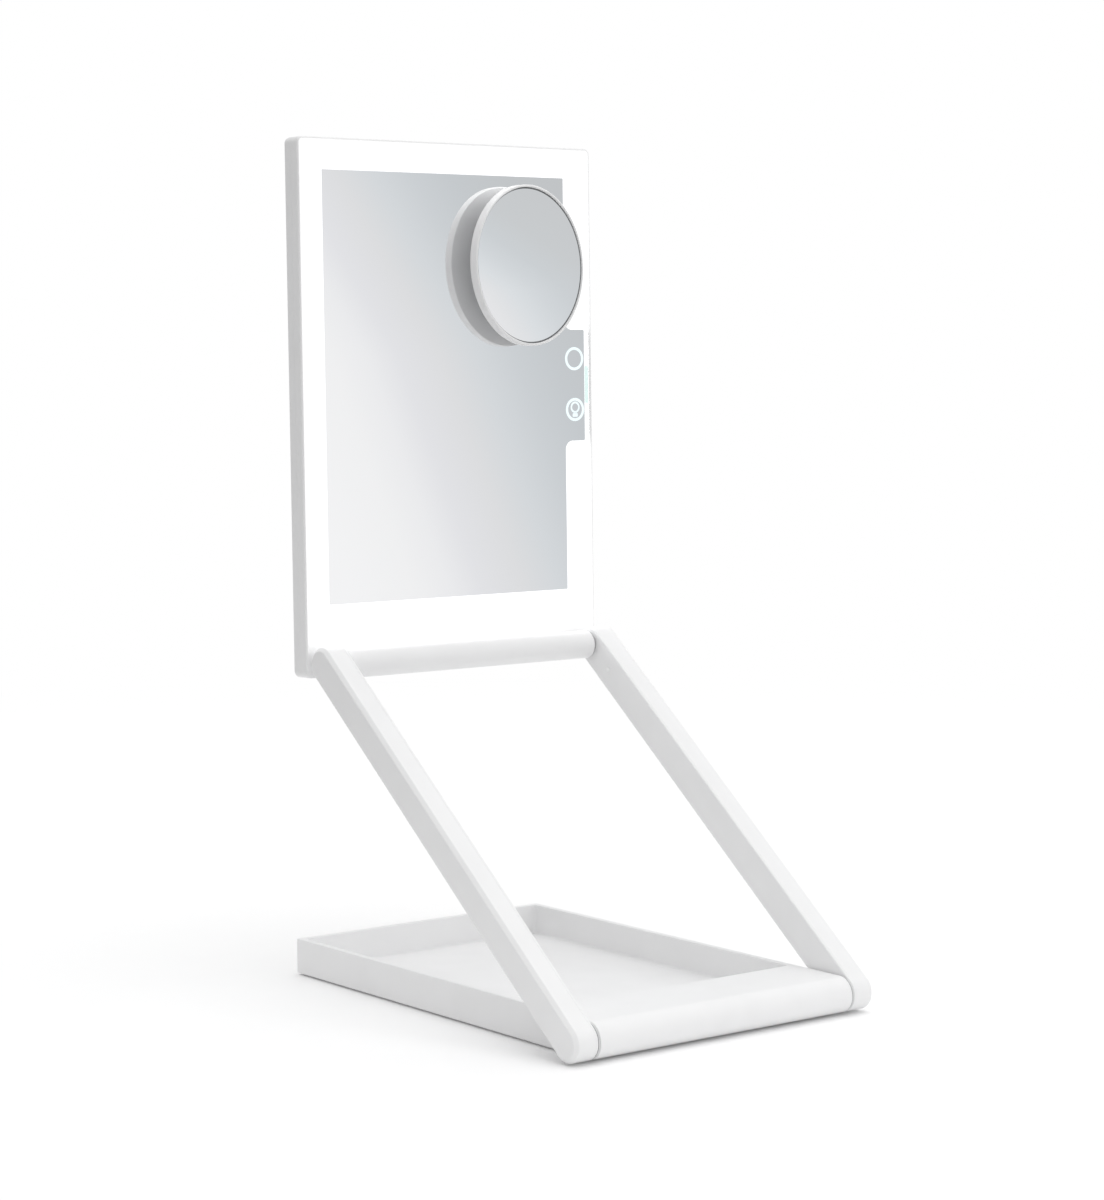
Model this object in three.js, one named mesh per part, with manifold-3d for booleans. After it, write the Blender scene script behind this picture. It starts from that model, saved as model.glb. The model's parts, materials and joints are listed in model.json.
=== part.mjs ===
// Folding makeup mirror: a tray, two arms, a lit head and a small oval mirror that pulls off.
// Millimetres, +Z up. X runs along the hinge axes and +Y points to the back.
// The origin lies on the table at the centre of the tray's footprint.
import * as THREE from "three";
import { mergeVertices } from "three/addons/utils/BufferGeometryUtils.js";
import Module from "manifold-3d";

const wasm = await Module();
wasm.setup();

// Pose as it stands in use, in degrees
const armAngle = 38.4;
const headLean = 0.9;

// Overall sizes
const overallWidth = 200;
const pivotDistance = 270.5;
const sideGap = 1.2;
const partGap = 0.3;

// Base tray
const footHeight = 1.0;
const footRadius = 5.5;
const footSeat = 0.8;
const footEdge = 0.4;
const footInsetX = 22;
const footInsetY = 14;
const trayHeight = 19.4;
const trayWall = 3.8;
const trayFloor = 2.4;
const trayEdge = 0.7;
const trayBackRadius = 1.0;
const pocketRadius = 2.0;
const railReach = 36;
const railSkin = 2.4;
const railPlate = 2.0;
const railBossRadius = 3.2;
const railScrewInset = 11.5;
const railScrewInnerX = 24.6;
const foldedBarrelGap = 1.0;

// Hinge shafts and what holds them
const shaftRadius = 3.0;
const shaftFlatDepth = 0.8;
const sleeveWall = 1.7;
const sleeveLength = 26;
const sleeveSlot = 1.6;
const bearingShoulder = 7.4;
const washerThickness = 0.6;
const washerRim = 2.7;
const nutThickness = 3.0;
const nutRim = 2.2;
const nutRoom = 2.0;
const nutSides = 6;

// Arms
const armThickness = 14.3;
const armWall = 2.0;
const armOuterEdge = 2.4;
const armInnerEdge = 1.0;
const armCover = 1.7;
const armBossWall = 2.9;
const capDistance = 21.8;
const capRadius = 1.5;
const capProud = 0.3;
const capStem = 6.0;
const capBossWall = 1.2;

// Head
const headTop = 284;
const headBottom = 8;
const faceGap = 2.9;
const headCorner = 3.5;
const frontEdge = 1.2;
const backEdge = 2.5;
const lipWidth = 2.5;
const ledgeWidth = 2.0;
const glassBottom = 13.5;
const glassThickness = 3.0;
const glassCorner = 1.5;
const lightRoom = 2.6;
const headWall = 2.0;
const chassisThickness = 1.0;
const apronThickness = 3.0;

// Widths of the lit border, and the tab of mirror in it that carries the touch marks
const borderLeft = 12.8;
const borderRight = 17.2;
const borderTop = 14.8;
const borderBottom = 17.9;
const tabMargin = 3.1;
const tabTop = 180.5;
const tabBottom = 116.8;
const tabCorner = 5.0;
const tabOuterCorner = 0.8;

// Upper hinge barrel
const barrelWall = 2.7;
const barrelEdge = 2.0;
const webHalfHeight = 5.5;
const webInset = 4.5;

// Light boards and other parts inside the head
const ledBoardWidth = 8.0;
const ledBoardThickness = 1.0;
const ledPitch = 16;
const ledChipLength = 3.5;
const ledChipWidth = 2.8;
const ledChipHeight = 0.8;
const bushRadius = 3.0;
const batteryWidth = 80;
const batteryHeight = 100;
const batteryThickness = 3.5;
const batteryCorner = 3.5;
const batteryCentreX = -20;
const batteryCentreZ = 140;
const controlWidth = 50.7;
const controlHeight = 30;
const controlCentreZ = 49;
const controlStandoff = 0.6;
const controlPegRadius = 1.5;
const controlPegInset = 4;
const boardThickness = 1.0;
const touchBoardThickness = 0.8;
const touchInsetX = 1.0;
const touchInsetZ = 2.0;
const socketWidth = 9.0;
const socketHeight = 3.2;
const socketDepth = 8.6;
const socketShell = 0.4;
const socketCorner = 1.5;
const tongueHalfThickness = 0.35;
const tongueInset = 1.5;
const ribbonWidth = 3.0;
const ribbonThickness = 0.35;
const ribbonOverlap = 6;
const ribbonSlotDrop = 5;
const ribbonSlotHeight = 10;

// Chips on the control board: place from its left edge and its middle, and size
const controlChips = [
  { x: 12, z: 8, width: 7, height: 7, depth: 1.2 },
  { x: 26, z: -7, width: 9, height: 5, depth: 1.6 },
  { x: 34, z: 7, width: 5, height: 5, depth: 1.0 },
  { x: 40, z: -8, width: 4, height: 6, depth: 1.4 },
];

// Small oval mirror
const ovalWidth = 75.8;
const ovalHeight = 90.2;
const ovalInsetX = 52.4;
const ovalInsetZ = 65.2;
const ovalTurn = 4.9;
const ovalBackGap = 6.0;
const ovalDome = 2.6;
const ovalBand = 6.4;
const ovalEdge = 0.8;
const ovalFlat = 28;
const ovalRim = 1.35;
const ovalShell = 1.8;
const ovalGlass = 2.0;
const ovalRecess = 1.4;
const ovalDish = 0.4;
const cupAngles = [90, 210, 330];
const cupCircle = 20;
const cupStem = 2.2;
const cupNeck = 4.4;
const cupRadius = 9.0;
const cupShoulderRadius = 6.3;
const cupShoulderHeight = 1.5;
const cupLipHeight = 0.5;
const cupLipWidth = 0.9;
const cupHollowRadius = 4.5;
const cupHollowHeight = 0.7;
const cupHollowTop = 1.1;

// Screws
const screwHeadRadius = 2.6;
const screwHeadDepth = 1.4;
const screwRadius = 1.2;
const crossWidth = 0.8;
const crossLength = 3.2;
const crossDepth = 0.8;
const railScrewLength = 9;
const backScrewLength = 5.4;
const backScrewInsetX = 12;
const backScrewInsetZ = 9;
const barrelScrewLength = 9;
const barrelScrewPitch = 48;

// How far a cutting solid runs past a face, and how deep a joined one reaches into its neighbour
const past = 1;
const bite = 0.2;

// Smoothness of round forms
const edgeSteps = 3;
const endSteps = 14;
const cornerSteps = 3;
const smallCornerSteps = 2;
const shaftSides = 16;
const barrelSides = 32;
const ovalSides = 48;
const dishSteps = 4;
const screwSides = 10;

// Sizes worked out from the ones above
const boreRadius = shaftRadius + partGap;
const shaftHoleRadius = boreRadius + partGap;
const sleeveRadius = boreRadius + sleeveWall;
const sleeveSeatRadius = sleeveRadius + partGap;
const sleeveSeatLength = sleeveLength + 2 * partGap;
const barrelRadius = sleeveSeatRadius + barrelWall;
const pivotRadius = trayHeight / 2;
const pivotHeight = footHeight + pivotRadius;
const trayBack = pivotDistance - barrelRadius - foldedBarrelGap;
const frontAxisY = (pivotRadius - trayBack) / 2;
const trayBackY = frontAxisY + trayBack;
const railBackY = frontAxisY + railReach;
const trayTop = footHeight + trayHeight;
const armOuter = overallWidth / 2;
const armInner = armOuter - armThickness;
const trayHalf = armInner - sideGap;
const faceOffset = pivotRadius + faceGap;
const glassBack = faceOffset + glassThickness;
const frameBack = glassBack + lightRoom + ledBoardThickness;
const chassisFront = frameBack + partGap;
const chassisBack = chassisFront + chassisThickness;
const tallestChip = Math.max(...controlChips.map((chip) => chip.depth));
const tallestOnBoard = Math.max(socketHeight, boardThickness + tallestChip);
const innerRoom = Math.max(batteryThickness + partGap, controlStandoff + tallestOnBoard) + partGap;
const backInner = chassisBack + innerRoom;
const headBack = backInner + headWall;
const glassHalf = armOuter - lipWidth;
const glassTop = headTop - lipWidth;
const fieldLeft = glassHalf - borderLeft;
const fieldRight = glassHalf - borderRight;
const fieldTop = glassTop - borderTop;
const fieldBottom = glassBottom + borderBottom;
const tabReach = glassHalf - tabMargin;
const unitX = new THREE.Vector3(1, 0, 0);
const unitY = new THREE.Vector3(0, 1, 0);
const unitZ = new THREE.Vector3(0, 0, 1);
const halfTurn = Math.PI;
const quarterTurn = Math.PI / 2;

const radians = (degrees) => THREE.MathUtils.degToRad(degrees);

const around = (middle, size) => [middle - size / 2, middle + size / 2];
const widen = ([low, high], by) => [low - by, high + by];

// A range of distances from the centre plane, on the left (-1) or the right (+1)
const span = (side, near, far) => (side > 0 ? [near, far] : [-far, -near]);

const materials = {
  whitePlastic: new THREE.MeshStandardMaterial({ color: 0xf1f1f2, roughness: 0.5 }),
  silvered: new THREE.MeshStandardMaterial({ color: 0xc4c9cc, roughness: 0.05, metalness: 1 }),
  litBorder: new THREE.MeshStandardMaterial({ color: 0xffffff, roughness: 0.4, emissive: 0xf4f8ff }),
  rubber: new THREE.MeshStandardMaterial({ color: 0xbfc1c2, roughness: 0.9 }),
  steel: new THREE.MeshStandardMaterial({ color: 0xb4b8bc, roughness: 0.3, metalness: 1 }),
  nylon: new THREE.MeshStandardMaterial({ color: 0x6c6f73, roughness: 0.6 }),
  board: new THREE.MeshStandardMaterial({ color: 0x2b5d3c, roughness: 0.6 }),
  lightBoard: new THREE.MeshStandardMaterial({ color: 0xe9ecec, roughness: 0.5 }),
  battery: new THREE.MeshStandardMaterial({ color: 0x8f969c, roughness: 0.35, metalness: 0.6 }),
  ribbon: new THREE.MeshStandardMaterial({ color: 0xb5762c, roughness: 0.5 }),
  silicone: new THREE.MeshStandardMaterial({ color: 0xdfe5e6, roughness: 0.25 }),
};

// Closed geometry to a solid that can be joined and cut
function toSolid(geometry) {
  geometry.deleteAttribute("normal");
  geometry.deleteAttribute("uv");
  const merged = mergeVertices(geometry);
  const index = merged.index.array;
  const triangles = [];
  for (let i = 0; i < index.length; i += 3) {
    const [a, b, c] = [index[i], index[i + 1], index[i + 2]];
    if (a !== b && b !== c && c !== a) triangles.push(a, b, c);
  }
  const vertProperties = new Float32Array(merged.attributes.position.array);
  const triVerts = new Uint32Array(triangles);
  return new wasm.Manifold(new wasm.Mesh({ numProp: 3, vertProperties, triVerts }));
}

function toGeometry(solid) {
  const mesh = solid.getMesh();
  const geometry = new THREE.BufferGeometry();
  geometry.setAttribute("position", new THREE.BufferAttribute(new Float32Array(mesh.vertProperties), 3));
  geometry.setIndex(new THREE.BufferAttribute(new Uint32Array(mesh.triVerts), 1));
  geometry.computeVertexNormals();
  return geometry;
}

function part(name, solid, material) {
  const mesh = new THREE.Mesh(toGeometry(solid), material);
  mesh.name = name;
  return mesh;
}

const cut = (solid, ...tools) => tools.reduce((rest, tool) => rest.subtract(tool), solid);
const join = (solid, ...more) => more.reduce((sum, other) => sum.add(other), solid);

// Plain shapes
function polygon(points) {
  return new THREE.Shape(points.map(([x, y]) => new THREE.Vector2(x, y)));
}

function arcPoints([x, y], radius, from, to, steps) {
  return Array.from({ length: steps + 1 }, (_, i) => {
    const angle = from + ((to - from) * i) / steps;
    return [x + radius * Math.cos(angle), y + radius * Math.sin(angle)];
  });
}

function rectangle([x0, x1], [y0, y1], radius, steps = cornerSteps) {
  return polygon([
    ...arcPoints([x1 - radius, y0 + radius], radius, -quarterTurn, 0, steps),
    ...arcPoints([x1 - radius, y1 - radius], radius, 0, quarterTurn, steps),
    ...arcPoints([x0 + radius, y1 - radius], radius, quarterTurn, halfTurn, steps),
    ...arcPoints([x0 + radius, y0 + radius], radius, halfTurn, halfTurn + quarterTurn, steps),
  ]);
}

// A shape pulled along +Z, with both of its end edges rounded
function extrude(shape, depth, edge = 0) {
  const geometry = new THREE.ExtrudeGeometry(shape, {
    depth: depth - 2 * edge,
    bevelEnabled: edge > 0,
    bevelThickness: edge,
    bevelSize: edge,
    bevelOffset: -edge,
    bevelSegments: edgeSteps,
  });
  return geometry.translate(0, 0, edge);
}

// A (y, z) shape pulled along +X
function alongX(shape, [x0, x1], edge = 0) {
  const turn = new THREE.Matrix4().makeBasis(unitY, unitZ, unitX);
  return toSolid(extrude(shape, x1 - x0, edge).applyMatrix4(turn).translate(x0, 0, 0));
}

// An (x, z) shape pulled along Y
function alongY(shape, [y0, y1], edge = 0) {
  const turn = new THREE.Matrix4().makeBasis(unitX, unitZ, unitY.clone().negate());
  return toSolid(extrude(shape, y1 - y0, edge).applyMatrix4(turn).translate(0, y1, 0));
}

function box([x0, x1], [y0, y1], [z0, z1]) {
  const geometry = new THREE.BoxGeometry(x1 - x0, y1 - y0, z1 - z0);
  return toSolid(geometry.translate((x0 + x1) / 2, (y0 + y1) / 2, (z0 + z1) / 2));
}

function rodX(radius, [x0, x1], [y, z] = [0, 0], sides = shaftSides) {
  const geometry = new THREE.CylinderGeometry(radius, radius, x1 - x0, sides).rotateZ(-quarterTurn);
  return toSolid(geometry.translate((x0 + x1) / 2, y, z));
}

function rodY(radius, [y0, y1], [x, z], sides = screwSides) {
  const geometry = new THREE.CylinderGeometry(radius, radius, y1 - y0, sides);
  return toSolid(geometry.translate(x, (y0 + y1) / 2, z));
}

function rodZ(radius, [z0, z1], [x, y], sides = screwSides) {
  const geometry = new THREE.CylinderGeometry(radius, radius, z1 - z0, sides).rotateX(quarterTurn);
  return toSolid(geometry.translate(x, y, (z0 + z1) / 2));
}

// A profile of (radius, height) points turned about +Y
function turned(profile, sides) {
  return new THREE.LatheGeometry(profile.map(([r, h]) => new THREE.Vector2(r, h)), sides);
}

// A countersunk screw with its face at height 0 and its tip at +length, and the hole that clears it
function screwProfile(length, grow) {
  const head = screwHeadRadius + grow;
  const shank = screwRadius + grow;
  return [
    [0, -grow * 2],
    [head, -grow * 2],
    [head, partGap],
    [shank, screwHeadDepth + grow],
    [shank, length - screwRadius],
    [0, length + grow],
  ];
}

function screwGeometry(length) {
  const long = around(0, crossLength);
  const short = around(0, crossWidth);
  const depth = [-past, crossDepth];
  const body = toSolid(turned(screwProfile(length, 0), screwSides));
  return toGeometry(cut(body, box(long, depth, short), box(short, depth, long)));
}

function screw(name, length, place) {
  return part(name, toSolid(place(screwGeometry(length))), materials.steel);
}

const pointingUp = (x, y, z) => (geometry) => geometry.rotateX(quarterTurn).translate(x, y, z);
const pointingForward = (x, y, z) => (geometry) => geometry.rotateX(halfTurn).translate(x, y, z);

const screwHole = (length, place) => toSolid(place(turned(screwProfile(length, partGap), screwSides)));

// Base tray
const footPlaces = {
  foot_front_left: [-trayHalf + footInsetX, frontAxisY + footInsetY],
  foot_front_right: [trayHalf - footInsetX, frontAxisY + footInsetY],
  foot_back_left: [-trayHalf + footInsetX, trayBackY - footInsetY],
  foot_back_right: [trayHalf - footInsetX, trayBackY - footInsetY],
};
const railPlateHalf = trayHalf - railSkin;
const railPlateY = [frontAxisY + railSkin, railBackY - railSkin];
const railSeatTop = footHeight + railPlate + partGap;
const railScrewY = frontAxisY + (pivotRadius + railReach - railSkin) / 2;
const railScrewOuterX = railPlateHalf - railScrewInset;
const railScrewX = [-railScrewOuterX, -railScrewInnerX, railScrewInnerX, railScrewOuterX];

function footSeats(names) {
  const reach = [0, footHeight + footSeat];
  return names.map((name) => rodZ(footRadius + partGap, reach, footPlaces[name], shaftSides));
}

function traySideShape() {
  const corner = trayBackY - trayBackRadius;
  const low = [corner, footHeight + trayBackRadius];
  const high = [corner, trayTop - trayBackRadius];
  return polygon([
    ...arcPoints([frontAxisY, pivotHeight], pivotRadius, quarterTurn, halfTurn + quarterTurn, endSteps),
    ...arcPoints(low, trayBackRadius, -quarterTurn, 0, smallCornerSteps),
    ...arcPoints(high, trayBackRadius, 0, quarterTurn, smallCornerSteps),
  ]);
}

function trayPocket() {
  const half = trayHalf - trayWall;
  const plan = rectangle([-half, half], [railBackY, trayBackY - trayWall], pocketRadius);
  return toSolid(extrude(plan, trayHeight).translate(0, 0, footHeight + trayFloor));
}

// The nose is hollow between its bearings, and a ledge above the plate's front edge stays whole
function railHollow() {
  const inner = pivotRadius - railSkin;
  const back = railBackY - railSkin;
  const half = trayHalf - sleeveSeatLength - bearingShoulder;
  const ledgeTop = railSeatTop + railSkin / 2;
  const ledgeEnd = frontAxisY + railSkin * 2;
  const low = halfTurn + Math.asin((pivotHeight - ledgeTop) / inner);
  const shape = polygon([
    ...arcPoints([frontAxisY, pivotHeight], inner, quarterTurn, low, endSteps / 2),
    [ledgeEnd, ledgeTop],
    [ledgeEnd, 0],
    [back, 0],
    [back, pivotHeight + inner],
  ]);
  const middle = alongX(shape, [-half, half]);
  const rearHalf = railPlateHalf - railSkin / 2;
  const rear = box([-rearHalf, rearHalf], [frontAxisY + pivotRadius, back], [0, pivotHeight + inner]);
  return middle.add(rear);
}

// The round seats and the hole that the shaft and its sleeves need
function sleeveSeats(place) {
  const reach = [-1, 1].map((side) => span(side, trayHalf - sleeveSeatLength, trayHalf + past));
  const seats = reach.map((reachX) => rodX(sleeveSeatRadius, reachX, place));
  return [...seats, rodX(shaftHoleRadius, [-trayHalf - past, trayHalf + past], place)];
}

function railScrewHoles() {
  return railScrewX.map((x) => screwHole(railScrewLength, pointingUp(x, railScrewY, footHeight)));
}

function trayShell() {
  const plateX = widen([-railPlateHalf, railPlateHalf], partGap);
  const plateSeat = box(plateX, widen(railPlateY, partGap), [0, railSeatTop]);
  const bossTop = trayTop - railSkin / 2;
  const bosses = railScrewX.map((x) => rodZ(railBossRadius, [railSeatTop, bossTop], [x, railScrewY]));
  const seats = sleeveSeats([frontAxisY, pivotHeight]);
  const body = alongX(traySideShape(), [-trayHalf, trayHalf], trayEdge);
  const hollowed = join(cut(body, trayPocket(), railHollow(), plateSeat), ...bosses);
  return cut(hollowed, ...seats, ...railScrewHoles(), ...footSeats(["foot_back_left", "foot_back_right"]));
}

function railBottomPlate() {
  const plate = box([-railPlateHalf, railPlateHalf], railPlateY, [footHeight, footHeight + railPlate]);
  return cut(plate, ...railScrewHoles(), ...footSeats(["foot_front_left", "foot_front_right"]));
}

function foot([x, y]) {
  const top = footHeight + footSeat - partGap;
  const profile = [[0, 0], [footRadius - footEdge, 0], [footRadius, footEdge], [footRadius, top], [0, top]];
  return toSolid(turned(profile, shaftSides).rotateX(quarterTurn).translate(x, y, 0));
}

function frictionSleeve(side, [y, z]) {
  const reach = span(side, trayHalf - sleeveLength - partGap, trayHalf - partGap);
  const open = widen(reach, past);
  const slot = box(open, around(y, sleeveSlot), [z, z + sleeveRadius + past]);
  return cut(rodX(sleeveRadius, reach, [y, z]), rodX(boreRadius, open, [y, z]), slot);
}

function washer(side, [y, z]) {
  const reach = span(side, ...around(trayHalf + sideGap / 2, washerThickness));
  return cut(rodX(boreRadius + washerRim, reach, [y, z]), rodX(boreRadius, widen(reach, past), [y, z]));
}

function base() {
  const group = new THREE.Group();
  const axis = [frontAxisY, pivotHeight];
  group.add(part("tray_shell", trayShell(), materials.whitePlastic));
  group.add(part("rail_bottom_plate", railBottomPlate(), materials.whitePlastic));
  for (const [name, place] of Object.entries(footPlaces)) {
    group.add(part(name, foot(place), materials.rubber));
  }
  railScrewX.forEach((x, i) => {
    const place = pointingUp(x, railScrewY, footHeight + partGap);
    group.add(screw(`rail_screw_${i + 1}`, railScrewLength, place));
  });
  for (const [word, side] of [["left", -1], ["right", 1]]) {
    group.add(part(`lower_friction_sleeve_${word}`, frictionSleeve(side, axis), materials.steel));
    group.add(part(`lower_washer_${word}`, washer(side, axis), materials.nylon));
  }
  return group;
}

// Arms, drawn along +Y from the lower pivot at the origin to the upper pivot
const pivots = [[0, 0], [pivotDistance, 0]];
const capPlace = [pivotDistance - capDistance, 0];
const shaftHalf = armOuter - armWall - partGap;
const coverJoint = armInner + armCover + partGap;
const nutReach = [coverJoint + nutRoom, coverJoint + nutRoom + nutThickness];
const armBossEnd = nutReach[1] + partGap;
const armSlabY = [-trayHeight, pivotDistance + trayHeight];

function armShape(radius) {
  return polygon([
    ...arcPoints(pivots[0], radius, quarterTurn, halfTurn + quarterTurn, endSteps),
    ...arcPoints(pivots[1], radius, -quarterTurn, quarterTurn, endSteps),
  ]);
}

// The material above a flat on a shaft's end, or above the flat of the hole that holds it
function aboveFlat(reachX, [y, z], grow) {
  return box(reachX, around(y, trayHeight), [z + shaftRadius - shaftFlatDepth + grow, z + pivotRadius]);
}

function flatBore(side, place) {
  const reach = span(side, armInner, shaftHalf + partGap);
  return cut(rodX(boreRadius, reach, place), aboveFlat(widen(reach, past), place, partGap));
}

const armSlab = (reachX) => box(reachX, armSlabY, [-trayHeight, trayHeight]);

function armShell(side) {
  const outer = alongX(armShape(pivotRadius), span(side, armInner, armOuter), armOuterEdge);
  const away = armSlab(span(side, 0, coverJoint));
  const hollow = alongX(armShape(pivotRadius - armWall), span(side, 0, armOuter - armWall));
  const root = armOuter - armWall / 2;
  const bosses = pivots.map((place) => rodX(boreRadius + armBossWall, span(side, armBossEnd, root), place));
  const capBoss = rodX(capRadius + partGap + capBossWall, span(side, coverJoint, root), capPlace);
  const capHole = rodX(capRadius + partGap, span(side, 0, armInner + capStem + partGap), capPlace);
  const bores = pivots.map((place) => flatBore(side, place));
  return cut(join(cut(outer, away, hollow), ...bosses, capBoss), capHole, ...bores);
}

function armCoverPlate(side) {
  const slab = alongX(armShape(pivotRadius), span(side, armInner, armOuter), armInnerEdge);
  const away = armSlab(span(side, armInner + armCover, overallWidth));
  const holes = pivots.map((place) => rodX(shaftHoleRadius, span(side, 0, overallWidth), place));
  const capHole = rodX(capRadius + partGap, span(side, 0, overallWidth), capPlace);
  return cut(slab, away, capHole, ...holes);
}

function crossShaft(place) {
  const reach = [-1, 1].map((side) => span(side, nutReach[1], shaftHalf + past));
  return cut(rodX(shaftRadius, [-shaftHalf, shaftHalf], place), ...reach.map((x) => aboveFlat(x, place, 0)));
}

function shaftNut(side, place) {
  const reach = span(side, ...nutReach);
  return cut(rodX(shaftRadius + nutRim, reach, place, nutSides), rodX(boreRadius, widen(reach, past), place));
}

function screwCap(side) {
  return rodX(capRadius, span(side, armInner - capProud, armInner + capStem), capPlace);
}

function arms() {
  const group = new THREE.Group();
  group.position.set(0, frontAxisY, pivotHeight);
  group.rotation.x = radians(armAngle);
  for (const [word, side] of [["left", -1], ["right", 1]]) {
    group.add(part(`${word}_arm_shell`, armShell(side), materials.whitePlastic));
    group.add(part(`${word}_arm_cover`, armCoverPlate(side), materials.whitePlastic));
    group.add(part(`${word}_arm_screw_cap`, screwCap(side), materials.whitePlastic));
    group.add(part(`lower_shaft_nut_${word}`, shaftNut(side, pivots[0]), materials.steel));
    group.add(part(`upper_shaft_nut_${word}`, shaftNut(side, pivots[1]), materials.steel));
  }
  group.add(part("lower_cross_shaft", crossShaft(pivots[0]), materials.steel));
  group.add(part("upper_cross_shaft", crossShaft(pivots[1]), materials.steel));
  return group;
}

// Head, drawn upright with the upper pivot axis at its origin and the glass facing -Y
const backScrewX = armOuter - backScrewInsetX;
const backScrewZ = [glassBottom + backScrewInsetZ, (glassBottom + glassTop) / 2, glassTop - backScrewInsetZ];
const backScrewPlaces = backScrewZ.flatMap((z) => [[-backScrewX, z], [backScrewX, z]]);
const barrelScrewX = [-barrelScrewPitch, 0, barrelScrewPitch];
const barrelScrewY = faceOffset + apronThickness;
const bushEnd = backInner - partGap;
const chassisRoot = chassisBack - bite;
const controlRight = armOuter - socketDepth - 2 * partGap;
const controlX = [controlRight - controlWidth, controlRight];
const controlZ = around(controlCentreZ, controlHeight);
const controlFront = chassisBack + controlStandoff;
const controlBack = controlFront + boardThickness;
const socketX = [armOuter - socketDepth, armOuter - partGap];
const socketY = [controlFront, controlFront + socketHeight];
const socketZ = around(controlCentreZ, socketWidth);
const touchX = [fieldRight + touchInsetX, tabReach - touchInsetX];
const touchY = [glassBack + partGap, glassBack + partGap + touchBoardThickness];
const touchZ = [tabBottom + touchInsetZ, tabTop - touchInsetZ];
const ribbonX = [touchX[0], touchX[0] + ribbonWidth];
const ribbonSlotZ = [tabBottom - ribbonSlotDrop - ribbonSlotHeight, tabBottom - ribbonSlotDrop];

function headSlab(inset, radius, reachY, edge = 0) {
  const half = armOuter - inset;
  return alongY(rectangle([-half, half], [-headBottom + inset, headTop - inset], radius), reachY, edge);
}

function glassSlab(inset, reachY) {
  const half = glassHalf - inset;
  return alongY(rectangle([-half, half], [glassBottom + inset, glassTop - inset], glassCorner), reachY);
}

function everythingBetween([y0, y1]) {
  return box([-overallWidth, overallWidth], [y0, y1], [-overallWidth, headTop + overallWidth]);
}

function barrelScrewHoles() {
  return barrelScrewX.map((x) => screwHole(barrelScrewLength, pointingForward(x, barrelScrewY, 0)));
}

function headFrontFrame() {
  const outer = headSlab(0, headCorner, [faceOffset, headBack], frontEdge);
  const behind = everythingBetween([frameBack, headBack + past]);
  const seat = glassSlab(0, [faceOffset - past, glassBack + partGap]);
  const window = glassSlab(ledgeWidth, [faceOffset, headBack]);
  const hollowX = widen([-armOuter, armOuter], -headWall);
  const hollowZ = widen([-headBottom, glassBottom], -headWall);
  const hollow = box(hollowX, [faceOffset + apronThickness, headBack], hollowZ);
  return cut(outer, behind, seat, window, hollow, ...barrelScrewHoles());
}

function headBackCover() {
  const outer = headSlab(0, headCorner, [faceOffset, headBack], backEdge);
  const ahead = everythingBetween([0, chassisFront]);
  const deep = headSlab(headWall, headCorner / 2, [faceOffset, chassisBack + partGap]);
  const deeper = headSlab(headWall * 2, headCorner / 2, [faceOffset, backInner]);
  const slot = box(widen([socketX[0], armOuter], past), widen(socketY, partGap), widen(socketZ, partGap));
  const holes = backScrewPlaces.map(([x, z]) => screwHole(backScrewLength, pointingForward(x, headBack, z)));
  return cut(outer, ahead, deep, deeper, slot, ...holes);
}

// The mirror field with its tab. The lit border's ends beside the tab are rounded at the field,
// and the tab's own corners are nearly sharp.
function fieldShape(grow) {
  const left = -fieldLeft - grow;
  const right = fieldRight + grow;
  const reach = tabReach + grow;
  const low = tabBottom - grow;
  const high = tabTop + grow;
  const bend = tabCorner;
  const sharp = tabOuterCorner;
  return polygon([
    [left, fieldBottom - grow],
    [right, fieldBottom - grow],
    ...arcPoints([right + bend, low - bend], bend, halfTurn, quarterTurn, cornerSteps),
    ...arcPoints([reach - sharp, low + sharp], sharp, -quarterTurn, 0, smallCornerSteps),
    ...arcPoints([reach - sharp, high - sharp], sharp, 0, quarterTurn, smallCornerSteps),
    ...arcPoints([right + bend, high + bend], bend, -quarterTurn, -halfTurn, cornerSteps),
    [right, fieldTop + grow],
    [left, fieldTop + grow],
  ]);
}

function mirrorGlass() {
  return alongY(fieldShape(-partGap / 2), [faceOffset, glassBack]);
}

function lightBorder() {
  const window = alongY(fieldShape(partGap / 2), widen([faceOffset, glassBack], past));
  return cut(glassSlab(partGap, [faceOffset, glassBack]), window);
}

// A light board between two ends, with a chip at each pitch that isn't behind the touch tab
function ledBoard(upright, centre, [from, to], skip = [0, 0]) {
  const y = [frameBack - ledBoardThickness, frameBack];
  const chipY = [y[0] - ledChipHeight, y[0] + bite];
  const chipAcross = around(centre, ledChipWidth);
  const place = (a, b, depth) => (upright ? box(a, depth, b) : box(b, depth, a));
  const count = Math.floor((to - from) / ledPitch);
  const first = (from + to - (count - 1) * ledPitch) / 2;
  const chips = Array.from({ length: count }, (_, i) => first + i * ledPitch)
    .filter((at) => at < skip[0] || at > skip[1])
    .map((at) => place(chipAcross, around(at, ledChipLength), chipY));
  return join(place(around(centre, ledBoardWidth), [from, to], y), ...chips);
}

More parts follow.
